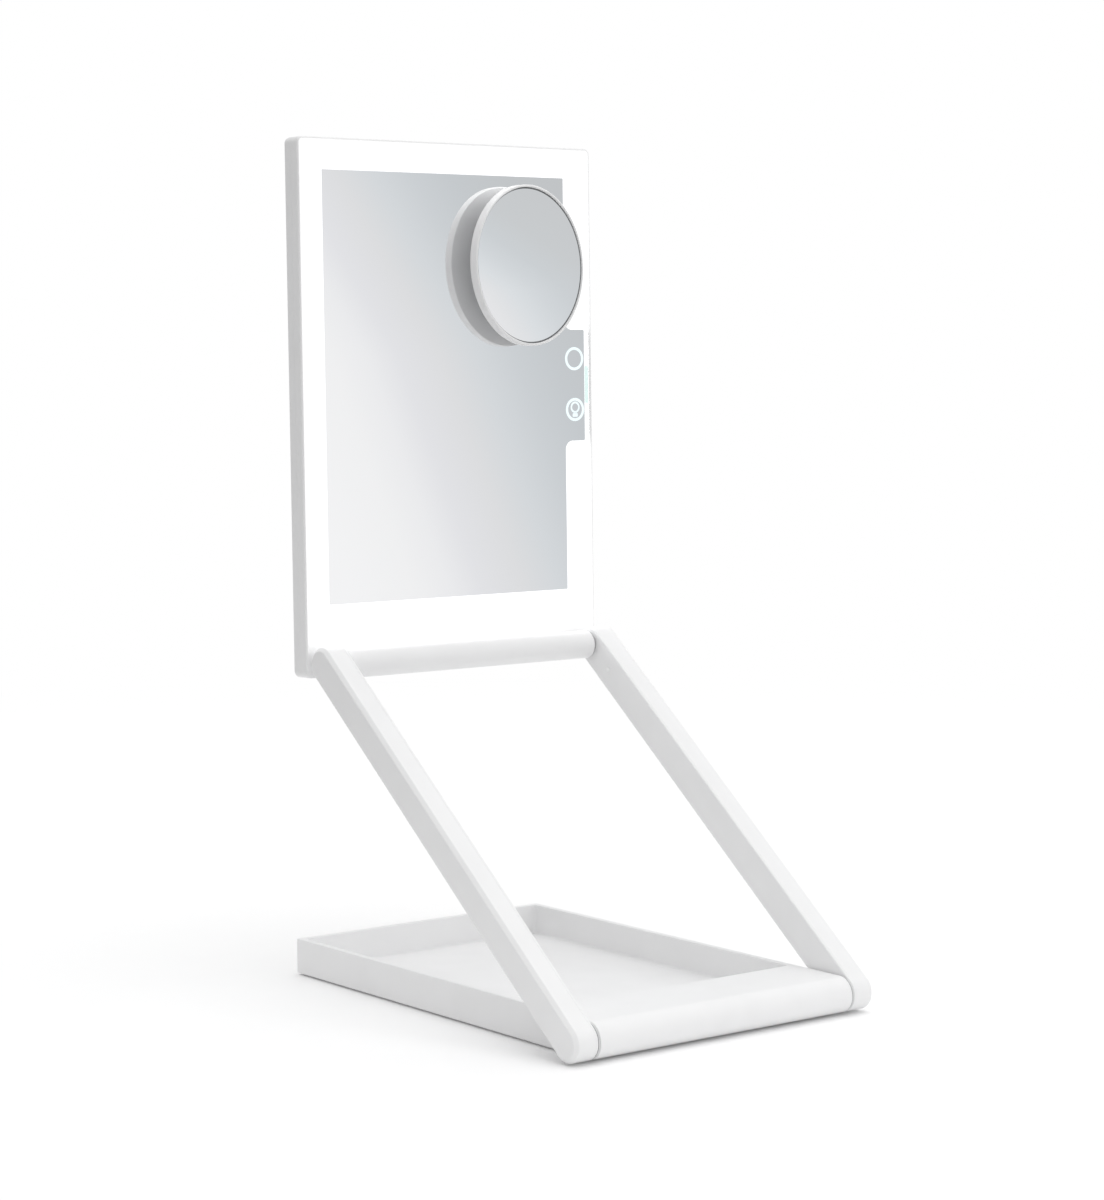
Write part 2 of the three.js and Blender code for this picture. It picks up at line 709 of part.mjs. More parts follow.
function chassisPlate() {
  const inset = headWall + partGap;
  const x = widen([-armOuter, armOuter], -inset);
  const outline = rectangle(x, [glassBottom - ledgeWidth, headTop - inset], headCorner / 2);
  const plate = alongY(outline, [chassisFront, chassisBack]);
  const bushes = backScrewPlaces.map((place) => rodY(bushRadius, [chassisRoot, bushEnd], place));
  const holes = backScrewPlaces.map((place) => rodY(screwRadius + partGap, [faceOffset, headBack], place));
  const pegX = widen(controlX, -controlPegInset);
  const pegPlaces = widen(controlZ, -controlPegInset).flatMap((z) => pegX.map((x) => [x, z]));
  const pegReach = [chassisRoot, controlFront - partGap];
  const pegs = pegPlaces.map((place) => rodY(controlPegRadius, pegReach, place));
  const slot = box(widen(ribbonX, past), [faceOffset, headBack], ribbonSlotZ);
  return cut(join(plate, ...bushes, ...pegs), slot, ...holes);
}

function batteryPack() {
  const y = chassisBack + partGap;
  const x = around(batteryCentreX, batteryWidth);
  const outline = rectangle(x, around(batteryCentreZ, batteryHeight), batteryCorner);
  return alongY(outline, [y, y + batteryThickness]);
}

function controlBoard() {
  const plate = box(controlX, [controlFront, controlBack], controlZ);
  const chips = controlChips.map(({ x, z, width, height, depth }) => {
    const y = [controlBack - bite, controlBack + depth];
    return box(around(controlX[0] + x, width), y, around(controlCentreZ + z, height));
  });
  return join(plate, ...chips);
}

function chargingSocket() {
  const outer = alongX(rectangle(socketY, socketZ, socketCorner), socketX);
  const mouth = rectangle(
    widen(socketY, -socketShell), widen(socketZ, -socketShell), socketCorner - socketShell);
  const inner = alongX(mouth, [socketX[0] + past, socketX[1] + past]);
  const tongueX = [socketX[0] + past / 2, socketX[1] - past];
  const tongueY = around((socketY[0] + socketY[1]) / 2, 2 * tongueHalfThickness);
  return join(cut(outer, inner), box(tongueX, tongueY, widen(socketZ, -tongueInset)));
}

function touchBoard() {
  return box(touchX, touchY, touchZ);
}

function touchRibbon() {
  const near = touchY[1] + partGap;
  const far = controlBack + partGap;
  const line = [
    [near, touchZ[0] + ribbonOverlap],
    [near, ribbonSlotZ[1] + past],
    [far, ribbonSlotZ[0] - past],
    [far, controlZ[1] - ribbonOverlap / 2],
  ];
  const back = line.map(([y, z]) => [y + ribbonThickness, z]).reverse();
  return alongX(polygon([...line, ...back]), ribbonX);
}

function hingeBarrel() {
  const edgeRadius = barrelRadius - barrelEdge;
  const edgeX = trayHalf - barrelEdge;
  const profile = [
    [0, -trayHalf],
    ...arcPoints([edgeRadius, -edgeX], barrelEdge, -quarterTurn, 0, edgeSteps),
    ...arcPoints([edgeRadius, edgeX], barrelEdge, 0, quarterTurn, edgeSteps),
    [0, trayHalf],
  ];
  const round = toSolid(turned(profile, barrelSides).rotateZ(-quarterTurn));
  const webX = widen([-trayHalf, trayHalf], -webInset);
  const web = box(webX, [0, faceOffset - partGap], [-webHalfHeight, webHalfHeight]);
  return cut(round.add(web), ...sleeveSeats([0, 0]), ...barrelScrewHoles());
}

function head() {
  const group = new THREE.Group();
  const tilt = radians(armAngle);
  const along = pivotDistance * Math.cos(tilt);
  const up = pivotDistance * Math.sin(tilt);
  group.position.set(0, frontAxisY + along, pivotHeight + up);
  group.rotation.x = -radians(headLean);
  group.add(part("head_front_frame", headFrontFrame(), materials.whitePlastic));
  group.add(part("head_back_cover", headBackCover(), materials.whitePlastic));
  group.add(part("mirror_glass", mirrorGlass(), materials.silvered));
  group.add(part("light_border", lightBorder(), materials.litBorder));
  const sideReach = [fieldBottom, fieldTop];
  const flatReach = [-fieldRight, fieldRight];
  const tab = [tabBottom - ledChipLength, tabTop + ledChipLength];
  const boards = {
    led_strip_left: [true, -(fieldLeft + glassHalf) / 2, sideReach],
    led_strip_right: [true, (fieldRight + glassHalf) / 2, sideReach, tab],
    led_strip_top: [false, (fieldTop + glassTop) / 2, flatReach],
    led_strip_bottom: [false, (fieldBottom + glassBottom) / 2, flatReach],
  };
  for (const [name, sizes] of Object.entries(boards)) {
    group.add(part(name, ledBoard(...sizes), materials.lightBoard));
  }
  group.add(part("chassis_plate", chassisPlate(), materials.whitePlastic));
  group.add(part("battery_pack", batteryPack(), materials.battery));
  group.add(part("control_board", controlBoard(), materials.board));
  group.add(part("charging_socket", chargingSocket(), materials.steel));
  group.add(part("touch_board", touchBoard(), materials.board));
  group.add(part("touch_ribbon", touchRibbon(), materials.ribbon));
  group.add(part("hinge_barrel", hingeBarrel(), materials.whitePlastic));
  barrelScrewX.forEach((x, i) => {
    const place = pointingForward(x, barrelScrewY - partGap, 0);
    group.add(screw(`barrel_screw_${i + 1}`, barrelScrewLength, place));
  });
  backScrewPlaces.forEach(([x, z], i) => {
    const place = pointingForward(x, headBack - partGap, z);
    group.add(screw(`back_screw_${i + 1}`, backScrewLength, place));
  });
  for (const [word, side] of [["left", -1], ["right", 1]]) {
    group.add(part(`upper_friction_sleeve_${word}`, frictionSleeve(side, [0, 0]), materials.steel));
    group.add(part(`upper_washer_${word}`, washer(side, [0, 0]), materials.nylon));
  }
  group.add(smallMirror());
  return group;
}

// Small oval mirror, drawn round about the face's normal and narrowed to its oval
const ovalRadius = ovalHeight / 2;
const ovalNarrow = ovalWidth / ovalHeight;
const ovalFront = -(ovalBackGap + ovalDome + ovalBand);
const ovalGlassFront = ovalFront + ovalRecess;
const ovalInside = -(ovalBackGap + ovalShell);

const cupPlaces = cupAngles.map((angle) => {
  const turn = radians(angle);
  return [cupCircle * Math.cos(turn) * ovalNarrow, cupCircle * Math.sin(turn)];
});

const oval = (profile) => toSolid(turned(profile, ovalSides).scale(ovalNarrow, 1, 1));

function smallMirrorHousing() {
  const bandBack = ovalFront + ovalBand;
  const edgeRadius = ovalRadius - ovalEdge;
  const seatRadius = ovalRadius - ovalRim;
  const seat = ovalGlassFront + ovalGlass + partGap;
  const body = oval([
    [0, ovalFront],
    [seatRadius, ovalFront],
    ...arcPoints([edgeRadius, ovalFront + ovalEdge], ovalEdge, -quarterTurn, 0, smallCornerSteps),
    ...arcPoints([edgeRadius, bandBack - ovalEdge], ovalEdge, 0, quarterTurn, smallCornerSteps),
    [ovalFlat, -ovalBackGap],
    [0, -ovalBackGap],
  ]);
  const hollow = oval([
    [0, ovalFront - past],
    [seatRadius, ovalFront - past],
    [seatRadius, seat],
    [seatRadius - ovalShell, seat],
    [ovalFlat, ovalInside],
    [0, ovalInside],
  ]);
  const holes = cupPlaces.map((place) => rodY(cupStem + partGap, [ovalFront, 0], place));
  return cut(body, hollow, ...holes);
}

// The dish is part of a sphere through the rim, so that it magnifies
function smallMirrorGlass() {
  const radius = ovalRadius - ovalRim - partGap;
  const sphere = (radius * radius + ovalDish * ovalDish) / (2 * ovalDish);
  const dish = (base, steps) => Array.from({ length: steps + 1 }, (_, i) => {
    const r = (radius * i) / steps;
    return [r, base + ovalDish - sphere + Math.sqrt(sphere * sphere - r * r)];
  });
  const front = dish(ovalGlassFront, dishSteps);
  const back = dish(ovalGlassFront + ovalGlass, dishSteps / 2);
  return oval([...front, ...back.reverse()]);
}

// A stem through the housing, and a thin skirt whose hollow side faces the glass
function suctionCup([x, z]) {
  const lip = -partGap;
  const neck = -ovalBackGap + partGap;
  const profile = [
    [0, ovalInside],
    [cupStem, ovalInside],
    [cupStem, neck],
    [cupNeck, neck],
    [cupShoulderRadius, lip - cupShoulderHeight],
    [cupRadius, lip - cupLipHeight],
    [cupRadius, lip],
    [cupRadius - cupLipWidth, lip],
    [cupHollowRadius, lip - cupHollowHeight],
    [0, lip - cupHollowTop],
  ];
  return toSolid(turned(profile, shaftSides).translate(x, 0, z));
}

function smallMirror() {
  const group = new THREE.Group();
  group.position.set(glassHalf - ovalInsetX, faceOffset, glassTop - ovalInsetZ);
  group.rotation.y = -radians(ovalTurn);
  group.add(part("small_mirror_housing", smallMirrorHousing(), materials.whitePlastic));
  group.add(part("small_mirror_glass", smallMirrorGlass(), materials.silvered));
  cupPlaces.forEach((place, i) => {
    group.add(part(`suction_cup_${i + 1}`, suctionCup(place), materials.silicone));
  });
  return group;
}

const mirror = new THREE.Group();
mirror.add(base(), arms(), head());

export default mirror;
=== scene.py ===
"""Looks of a folding lit makeup mirror around its CAD frame, and the studio that shows it."""

import json
import logging
import math
from abc import ABC, abstractmethod
from collections.abc import Sequence
from dataclasses import dataclass, field
from enum import Enum

import bmesh
import bpy
from mathutils import Matrix, Vector


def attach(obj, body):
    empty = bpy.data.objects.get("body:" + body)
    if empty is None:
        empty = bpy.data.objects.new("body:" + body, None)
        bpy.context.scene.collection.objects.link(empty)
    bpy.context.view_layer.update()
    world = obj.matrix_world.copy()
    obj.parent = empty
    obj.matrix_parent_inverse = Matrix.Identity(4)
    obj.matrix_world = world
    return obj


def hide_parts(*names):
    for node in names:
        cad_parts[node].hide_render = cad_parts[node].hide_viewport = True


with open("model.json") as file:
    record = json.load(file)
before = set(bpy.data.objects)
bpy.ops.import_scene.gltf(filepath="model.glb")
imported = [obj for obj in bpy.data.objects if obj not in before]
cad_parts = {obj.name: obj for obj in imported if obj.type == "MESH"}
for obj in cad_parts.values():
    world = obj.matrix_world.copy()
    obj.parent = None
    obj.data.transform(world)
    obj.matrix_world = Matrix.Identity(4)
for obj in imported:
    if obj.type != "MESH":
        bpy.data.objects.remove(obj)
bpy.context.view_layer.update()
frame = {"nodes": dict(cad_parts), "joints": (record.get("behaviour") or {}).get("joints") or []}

LOG = logging.getLogger("makeup_mirror")
MM = 0.001  # a millimetre in metres
QUARTER = math.pi / 2  # a quarter of a turn in radians
PAST = 1.0  # how far a cutter reaches past the face that it opens
SMALLEST = 0.02  # the smallest radius that is drawn
CRISP = 0.05  # radius of an edge that is left almost sharp
BEVEL_SOFTNESS = 0.45  # how much of a flat bevel is rounded, at each of its borders
BEVEL_STEPS = 4  # number of edges in each of these borders
X_AXIS = Vector((1.0, 0.0, 0.0))
SIDES = (("left", -1.0), ("right", 1.0))
WHITE = (1.0, 1.0, 1.0)
BLACK = (0.0, 0.0, 0.0)

Pair = tuple[float, float]
Triple = tuple[float, float, float]
Profile = Sequence[Pair]
Colour = tuple[float, float, float]
Stops = tuple[tuple[float, Colour], ...]
Socket = bpy.types.NodeSocket


# Shapes, drawn in millimetres


class Pull(Enum):
    """Axis that a flat outline is pulled along. The outline's own axes are the other two, in order."""

    X = 0
    Y = 1
    Z = 2

    def place(self, u: float, v: float, depth: float) -> Vector:
        """Returns the point of an outline at a depth along this axis.

        Args:
            u: The point's place on the outline's first axis.
            v: Its place on the outline's second axis.
            depth: Its depth along this axis.

        Returns:
            The point.
        """
        if self is Pull.X:
            return Vector((depth, u, v))
        if self is Pull.Y:
            return Vector((u, depth, v))
        return Vector((u, v, depth))


class Outline(ABC):
    """A closed flat outline that can be drawn at any inset with the same number of points."""

    @abstractmethod
    def loop(self, inset: float) -> list[Pair]:
        """Returns the outline's points, moved inwards by an inset."""


@dataclass(frozen=True)
class Corners(Outline):
    """An outline with square turns, each rounded by its own radius, drawn anticlockwise."""

    points: tuple[Pair, ...]
    radii: tuple[float, ...]
    steps: int = 8

    def loop(self, inset: float) -> list[Pair]:
        """Returns the outline's points, moved inwards by an inset.

        Args:
            inset: How far inwards.

        Returns:
            Its points.
        """
        placed = []
        count = len(self.points)
        for i, radius in enumerate(self.radii):
            before, corner, after = (Vector(self.points[(i + k) % count]) for k in (-1, 0, 1))
            going, leaving = (corner - before).normalized(), (after - corner).normalized()
            inwards = [Vector((-way.y, way.x)) for way in (going, leaving)]
            turn = 1.0 if going.cross(leaving) > 0 else -1.0
            bend = max(radius - turn * inset, SMALLEST)
            diagonal = inwards[0] + inwards[1]
            centre = corner + inset * diagonal + turn * bend * diagonal
            for step in range(self.steps + 1):
                angle = QUARTER * step / self.steps
                swung = math.cos(angle) * inwards[0] + math.sin(angle) * inwards[1]
                placed.append(tuple(centre - turn * bend * swung))
        return placed


@dataclass(frozen=True)
class Round(Outline):
    """A circle, or an oval where it is narrowed along its first axis."""

    radius: float
    centre: Pair = (0.0, 0.0)
    narrow: float = 1.0
    sides: int = 48

    def loop(self, inset: float) -> list[Pair]:
        """Returns the outline's points, moved inwards by an inset.

        Args:
            inset: How far inwards.

        Returns:
            Its points.
        """
        reach = self.radius - inset
        angles = [2 * math.pi * i / self.sides for i in range(self.sides)]
        u, v = self.centre
        return [(u + self.narrow * reach * math.cos(a), v + reach * math.sin(a)) for a in angles]


def rectangle(low: Pair, high: Pair, radius: float | Sequence[float], steps: int = 8) -> Corners:
    """Draws a rectangle with rounded corners.

    Args:
        low: Its lowest corner.
        high: Its highest corner.
        radius: One corner radius, or four from the lowest corner on, anticlockwise.
        steps: Number of edges in each corner.

    Returns:
        The outline.
    """
    radii = (radius,) * 4 if isinstance(radius, (int, float)) else tuple(radius)
    return Corners((low, (high[0], low[1]), high, (low[0], high[1])), radii, steps)


def arc(centre: Pair, radius: float, start: float, end: float, steps: int = 5) -> list[Pair]:
    """Draws part of a circle.

    Args:
        centre: Its centre.
        radius: Its radius.
        start: Angle of its first point, in degrees.
        end: Angle of its last point, in degrees.
        steps: Number of edges.

    Returns:
        Its points.
    """
    angles = [math.radians(start + (end - start) * i / steps) for i in range(steps + 1)]
    return [(centre[0] + radius * math.cos(a), centre[1] + radius * math.sin(a)) for a in angles]


def quarter_round(steps: int) -> list[Pair]:
    """Returns the fall below the face and the inset from the wall, of each point of a round of radius 1."""
    angles = [QUARTER * i / steps for i in range(steps + 1)]
    return [(1 - math.sin(a), 1 - math.cos(a)) for a in angles]


def edges(near: float, far: float, near_radius: float, far_radius: float, steps: int = 5) -> list[Pair]:
    """Draws the depths and insets of a slab whose two end edges are rounded.

    Args:
        near: Depth of its first face.
        far: Depth of its last face, on either side of the first.
        near_radius: Radius of its first edge.
        far_radius: Radius of its last edge.
        steps: Number of edges in each round.

    Returns:
        Points of depth and inset.
    """
    way = 1.0 if far > near else -1.0
    first = [(near + way * near_radius * fall, near_radius * inset) for fall, inset in quarter_round(steps)]
    last = [(far - way * far_radius * fall, far_radius * inset) for fall, inset in quarter_round(steps)]
    return first[::-1] + last


def bevelled(near: float, far: float, near_radius: float, reach: float) -> list[Pair]:
    """Draws the depths and insets of a slab with a round first edge and a flat bevel on its last edge.

    Args:
        near: Depth of its first face.
        far: Depth of its last face, on either side of the first.
        near_radius: Radius of its first edge.
        reach: How far the bevel reaches from the corner.

    Returns:
        Points of depth and inset.
    """
    way = 1.0 if far > near else -1.0
    slope = QUARTER / 2
    bend = BEVEL_SOFTNESS / math.tan(slope / 2)
    turns = [slope * i / BEVEL_STEPS for i in range(BEVEL_STEPS + 1)]
    points = edges(near, far, near_radius, 0.0, BEVEL_STEPS + 1)[:BEVEL_STEPS + 2]
    points += [(far - way * (reach - bend * math.sin(a)), bend * (1 - math.cos(a))) for a in turns]
    points += [(far - way * bend * (1 - math.cos(a)), reach - bend * math.sin(a)) for a in reversed(turns)]
    return points


def opening(face: float, floor: float, rim: float, foot: float = CRISP, steps: int = 4) -> list[Pair]:
    """Draws the cutter of a pocket or hole whose rim and floor are rounded.

    Args:
        face: Depth of the face that it opens in.
        floor: Depth of its floor.
        rim: Radius of its rim.
        foot: Radius between its wall and floor.
        steps: Number of edges in each round.

    Returns:
        Points of depth and inset.
    """
    way = 1.0 if floor > face else -1.0
    points = [(face - way * PAST, -rim)]
    points += [(face + way * rim * inset, -rim * fall) for fall, inset in quarter_round(steps)]
    points += [(floor - way * foot * fall, foot * inset) for fall, inset in quarter_round(steps)]
    return points


class Solid:
    """A closed mesh in millimetres that can be joined to others and cut by them."""

    def __init__(self, mesh: bpy.types.Mesh) -> None:
        """Takes over a mesh."""
        self.mesh = mesh

    @classmethod
    def loft(cls, outline: Outline, profile: Profile, pull: Pull, ring: bool = False) -> "Solid":
        """Joins copies of an outline at several depths and insets.

        Args:
            outline: The outline.
            profile: Depth and inset of each copy.
            pull: The axis of the depths.
            ring: Whether the last copy joins the first, in place of two end faces.

        Returns:
            The solid.
        """
        build = bmesh.new()
        loops = [[build.verts.new(pull.place(u, v, depth)) for u, v in outline.loop(inset)]
                 for depth, inset in profile]
        pairs = list(zip(loops, loops[1:])) + ([(loops[-1], loops[0])] if ring else [])
        for near, far in pairs:
            for i, corner in enumerate(near):
                j = (i + 1) % len(near)
                build.faces.new((corner, near[j], far[j], far[i]))
        if not ring:
            build.faces.new(list(reversed(loops[0])))
            build.faces.new(loops[-1])
        bmesh.ops.remove_doubles(build, verts=build.verts, dist=1e-5)
        bmesh.ops.recalc_face_normals(build, faces=build.faces)
        mesh = bpy.data.meshes.new("shape")
        build.to_mesh(mesh)
        build.free()
        return cls(mesh)

    @classmethod
    def turned(cls, profile: Profile, pull: Pull, centre: Pair = (0.0, 0.0), sides: int = 48,
               narrow: float = 1.0, ring: bool = False) -> "Solid":
        """Turns a profile about an axis.

        Args:
            profile: Depth and radius of each point.
            pull: The axis.
            centre: Where the axis passes, on the other two axes.
            sides: Number of edges round it.
            narrow: How much it is narrowed along its first axis.
            ring: Whether the last point joins the first.

        Returns:
            The solid.
        """
        insets = [(depth, -max(radius, SMALLEST)) for depth, radius in profile]
        return cls.loft(Round(0.0, centre, narrow, sides), insets, pull, ring)

    @classmethod
    def block(cls, low: Sequence[float], high: Sequence[float], edge: float = 0.05) -> "Solid":
        """Returns a box between two corners, with slightly rounded edges."""
        outline = rectangle((low[0], low[1]), (high[0], high[1]), edge, 2)
        return cls.loft(outline, edges(low[2], high[2], edge, edge, 2), Pull.Z)

    def _combined(self, others: Sequence["Solid"], operation: str) -> "Solid":
        """Combines this solid with others by an exact Boolean and uses them up.

        Args:
            others: The other solids.
            operation: UNION or DIFFERENCE.

        Returns:
            The result.
        """
        scene = bpy.context.scene
        host = bpy.data.objects.new("host", self.mesh)
        tools = [bpy.data.objects.new("tool", other.mesh) for other in others]
        for item in (host, *tools):
            scene.collection.objects.link(item)
        for tool in tools:
            step = host.modifiers.new("combine", "BOOLEAN")
            step.operation = operation
            step.solver = "EXACT"
            step.object = tool
        bpy.context.view_layer.update()
        evaluated = host.evaluated_get(bpy.context.evaluated_depsgraph_get())
        result = bpy.data.meshes.new_from_object(evaluated)
        for item in (host, *tools):
            used = item.data
            bpy.data.objects.remove(item)
            bpy.data.meshes.remove(used)
        return Solid(result)

    def cut(self, *tools: "Solid") -> "Solid":
        """Returns this solid without the space of others."""
        return self._combined(tools, "DIFFERENCE")

    def join(self, *parts: "Solid") -> "Solid":
        """Returns this solid joined to others."""
        return self._combined(parts, "UNION")

    def moved(self, matrix: Matrix) -> "Solid":
        """Returns this solid after a move, with its faces still outwards.

        Args:
            matrix: The move.

        Returns:
            This solid.
        """
        self.mesh.transform(matrix)
        if matrix.determinant() < 0:
            self.mesh.flip_normals()
        return self


# Shader building


class Graph:
    """Adds nodes to one node tree and links them."""

    def __init__(self, tree: bpy.types.NodeTree) -> None:
        """Takes the node tree."""
        self.tree = tree

    def add(self, kind: str, inputs: dict[str | int, object] | None = None,
            **settings: object) -> bpy.types.Node:
        """Adds one shader node.

        Args:
            kind: The node's kind, without its ShaderNode prefix.
            inputs: A value or another node's socket for each named or numbered input.
            **settings: Attributes of the node.

        Returns:
            The node.
        """
        node = self.tree.nodes.new(f"ShaderNode{kind}")
        for name, value in settings.items():
            setattr(node, name, value)
        for key, value in (inputs or {}).items():
            if isinstance(value, bpy.types.NodeSocket):
                self.tree.links.new(value, node.inputs[key])
            else:
                node.inputs[key].default_value = value
        return node

    def math(self, operation: str, *values: object) -> Socket:
        """Returns the result of a Math node."""
        return self.add("Math", dict(enumerate(values)), operation=operation).outputs[0]

    def vector(self, operation: str, *values: object) -> bpy.types.Node:
        """Returns a Vector Math node."""
        return self.add("VectorMath", dict(enumerate(values)), operation=operation)

    def weighted(self, first: Socket, share: float, second: Socket) -> Socket:
        """Returns the sum of two values, of which the first has a share and the second has the rest."""
        parts = (self.math("MULTIPLY", first, share), self.math("MULTIPLY", second, 1 - share))
        return self.math("ADD", *parts)

    def axes(self, point: Socket) -> bpy.types.NodeOutputs:
        """Returns the three coordinates of a point."""
        return self.add("SeparateXYZ", {0: point}).outputs

    def mix(self, factor: object, low: object, high: object, blend: str = "MIX") -> Socket:
        """Returns a mix of two colours."""
        colours = {6: self.opaque(low), 7: self.opaque(high)}
        return self.add("Mix", {0: factor, **colours}, data_type="RGBA", blend_type=blend).outputs[2]

    def spread(self, value: object, low: float, high: float, to_low: float = 0.0, to_high: float = 1.0,
               smooth: bool = False) -> Socket:
        """Returns a value moved from one range to another, and kept inside it.

        Args:
            value: The value.
            low: Start of its range.
            high: End of its range.
            to_low: Result at the start.
            to_high: Result at the end.
            smooth: Whether the change starts and ends softly.

        Returns:
            The result.
        """
        inputs = {"Value": value, "From Min": low, "From Max": high, "To Min": to_low, "To Max": to_high}
        kind = "SMOOTHSTEP" if smooth else "LINEAR"
        return self.add("MapRange", inputs, interpolation_type=kind).outputs[0]

    def ramp(self, value: object, stops: Stops) -> Socket:
        """Returns the colour that a ramp of stops gives a value.

        Args:
            value: The value.
            stops: Place and colour of each stop.

        Returns:
            The colour.
        """
        node = self.add("ValToRGB", {0: value})
        elements = node.color_ramp.elements
        while len(elements) < len(stops):
            elements.new(0.5)
        for element, (place, colour) in zip(elements, stops):
            element.position = place
            element.color = (*colour, 1.0)
        return node.outputs[0]

    def noise(self, scale: object, detail: float = 2.0, place: object | None = None) -> Socket:
        """Returns a noise value over the object."""
        inputs = {"Vector": place or self.place(), "Scale": scale, "Detail": detail}
        return self.add("TexNoise", inputs).outputs[0]

    def place(self) -> Socket:
        """Returns the place of the shaded point on its object."""
        return self.add("TexCoord").outputs["Object"]

    def seen(self) -> Socket:
        """Returns 1 for rays that show a surface, and 0 for rays that carry its light to others.

        Returns:
            The number.
        """
        path = self.add("LightPath").outputs
        mirrored = self.math("MAXIMUM", path["Is Glossy Ray"], path["Is Transmission Ray"])
        return self.math("MAXIMUM", path["Is Camera Ray"], mirrored)

    @staticmethod
    def opaque(value: object) -> object:
        """Returns a colour with its alpha, or a socket as it is."""
        return value if isinstance(value, bpy.types.NodeSocket) else (*value, 1.0)


SLOW_SCALE = 0.02  # scale of a moulding's slow unevenness, as a share of its grain's
FINE_SHARE = 0.6  # share of fine noise in a moulding's texture
SLOW_SHARE = 0.7  # share of the slow unevenness in a moulding's tone
DUST_SCALE = 14.0  # scale of dust, as a multiple of the hand marks'
DUST_STRENGTH = 0.6
DUST_RANGE = (0.66, 0.74)  # noise over which dust appears
PATCH_RANGE = (0.5, 0.75)  # noise over which hand marks appear
BREAK_RANGE = (0.35, 0.65)  # noise over which a rubbed edge breaks off
TONE_RANGE = (0.3, 0.7)  # noise over which a finish changes its tone
EDGE_RANGE = (0.51, 0.6)  # pointiness over which an edge is rubbed


class Effect(Enum):
    """A surface effect that several finishes share, with its name, inputs and outputs."""

    GRAIN = ("moulded_grain", ("Scale", "Depth"), ("Height", "Tone"))
    MARKS = ("handling_marks", ("Scale", "Amount"), ("Mask", "Gloss"))
    WEAR = ("edge_wear", ("Amount", "Patchiness"), ("Mask",))
    LINES = ("tool_lines", ("Scale", "Depth", "Stretch"), ("Height", "Tone"))

    def group(self) -> bpy.types.NodeTree:
        """Returns the effect's node group, built the first time it is asked for.

        Returns:
            The node group.
        """
        name, inputs, outputs = self.value
        made = bpy.data.node_groups.get(name)
        if made:
            return made
        tree = bpy.data.node_groups.new(name, "ShaderNodeTree")
        for word in inputs:
            tree.interface.new_socket(word, in_out="INPUT", socket_type="NodeSocketFloat")
        for word in outputs:
            tree.interface.new_socket(word, in_out="OUTPUT", socket_type="NodeSocketFloat")
        graph = Graph(tree)
        entry = tree.nodes.new("NodeGroupInput").outputs
        exit_node = tree.nodes.new("NodeGroupOutput")
        results = getattr(self, f"_{name}")(graph, entry)
        for word, result in zip(outputs, results):
            tree.links.new(result, exit_node.inputs[word])
        return tree

    @staticmethod
    def _moulded_grain(graph: Graph, entry: bpy.types.NodeInputs) -> tuple[Socket, ...]:
        """Fine spark-eroded texture with a slow unevenness under it.

        Args:
            graph: The group's graph.
            entry: The group's inputs.

        Returns:
            The group's outputs, in order.
        """
        place = graph.place()
        fine = graph.noise(entry["Scale"], 3.0, place)
        cells = graph.add("TexVoronoi", {"Vector": place, "Scale": entry["Scale"]}).outputs["Distance"]
        slow = graph.noise(graph.math("MULTIPLY", entry["Scale"], SLOW_SCALE), 1.0, place)
        texture = graph.weighted(fine, FINE_SHARE, cells)
        height = graph.math("MULTIPLY", graph.math("ADD", texture, slow), entry["Depth"])
        return height, graph.weighted(slow, SLOW_SHARE, fine)

    @staticmethod
    def _handling_marks(graph: Graph, entry: bpy.types.NodeInputs) -> tuple[Socket, ...]:
        """Faint cloudy patches where fingers and dust have been.

        Args:
            graph: The group's graph.
            entry: The group's inputs.

        Returns:
            The group's outputs, in order.
        """
        place = graph.place()
        cloud = graph.noise(entry["Scale"], 4.0, place)
        specks = graph.noise(graph.math("MULTIPLY", entry["Scale"], DUST_SCALE), 1.0, place)
        patch = graph.spread(cloud, *PATCH_RANGE, smooth=True)
        dust = graph.spread(specks, *DUST_RANGE)
        both = graph.math("MAXIMUM", patch, graph.math("MULTIPLY", dust, DUST_STRENGTH))
        return graph.math("MULTIPLY", both, entry["Amount"]), patch

    @staticmethod
    def _edge_wear(graph: Graph, entry: bpy.types.NodeInputs) -> tuple[Socket, ...]:
        """Outer edges rubbed smooth, in broken stretches.

        Args:
            graph: The group's graph.
            entry: The group's inputs.

        Returns:
            The group's outputs, in order.
        """
        point = graph.add("NewGeometry").outputs["Pointiness"]
        edge = graph.spread(point, *EDGE_RANGE, smooth=True)
        broken = graph.spread(graph.noise(entry["Patchiness"], 3.0), *BREAK_RANGE)
        return (graph.math("MULTIPLY", graph.math("MULTIPLY", edge, broken), entry["Amount"]),)

    @staticmethod
    def _tool_lines(graph: Graph, entry: bpy.types.NodeInputs) -> tuple[Socket, ...]:
        """Fine parallel lines round the X axis, as turning or drawing leaves them.

        Args:
            graph: The group's graph.
            entry: The group's inputs.

        Returns:
            The group's outputs, in order.
        """
        stretch = graph.add("CombineXYZ", {0: 1.0, 1: entry["Stretch"], 2: entry["Stretch"]}).outputs[0]
        place = graph.vector("MULTIPLY", graph.place(), stretch).outputs[0]
        lines = graph.noise(entry["Scale"], 3.0, place)
        return graph.math("MULTIPLY", lines, entry["Depth"]), lines


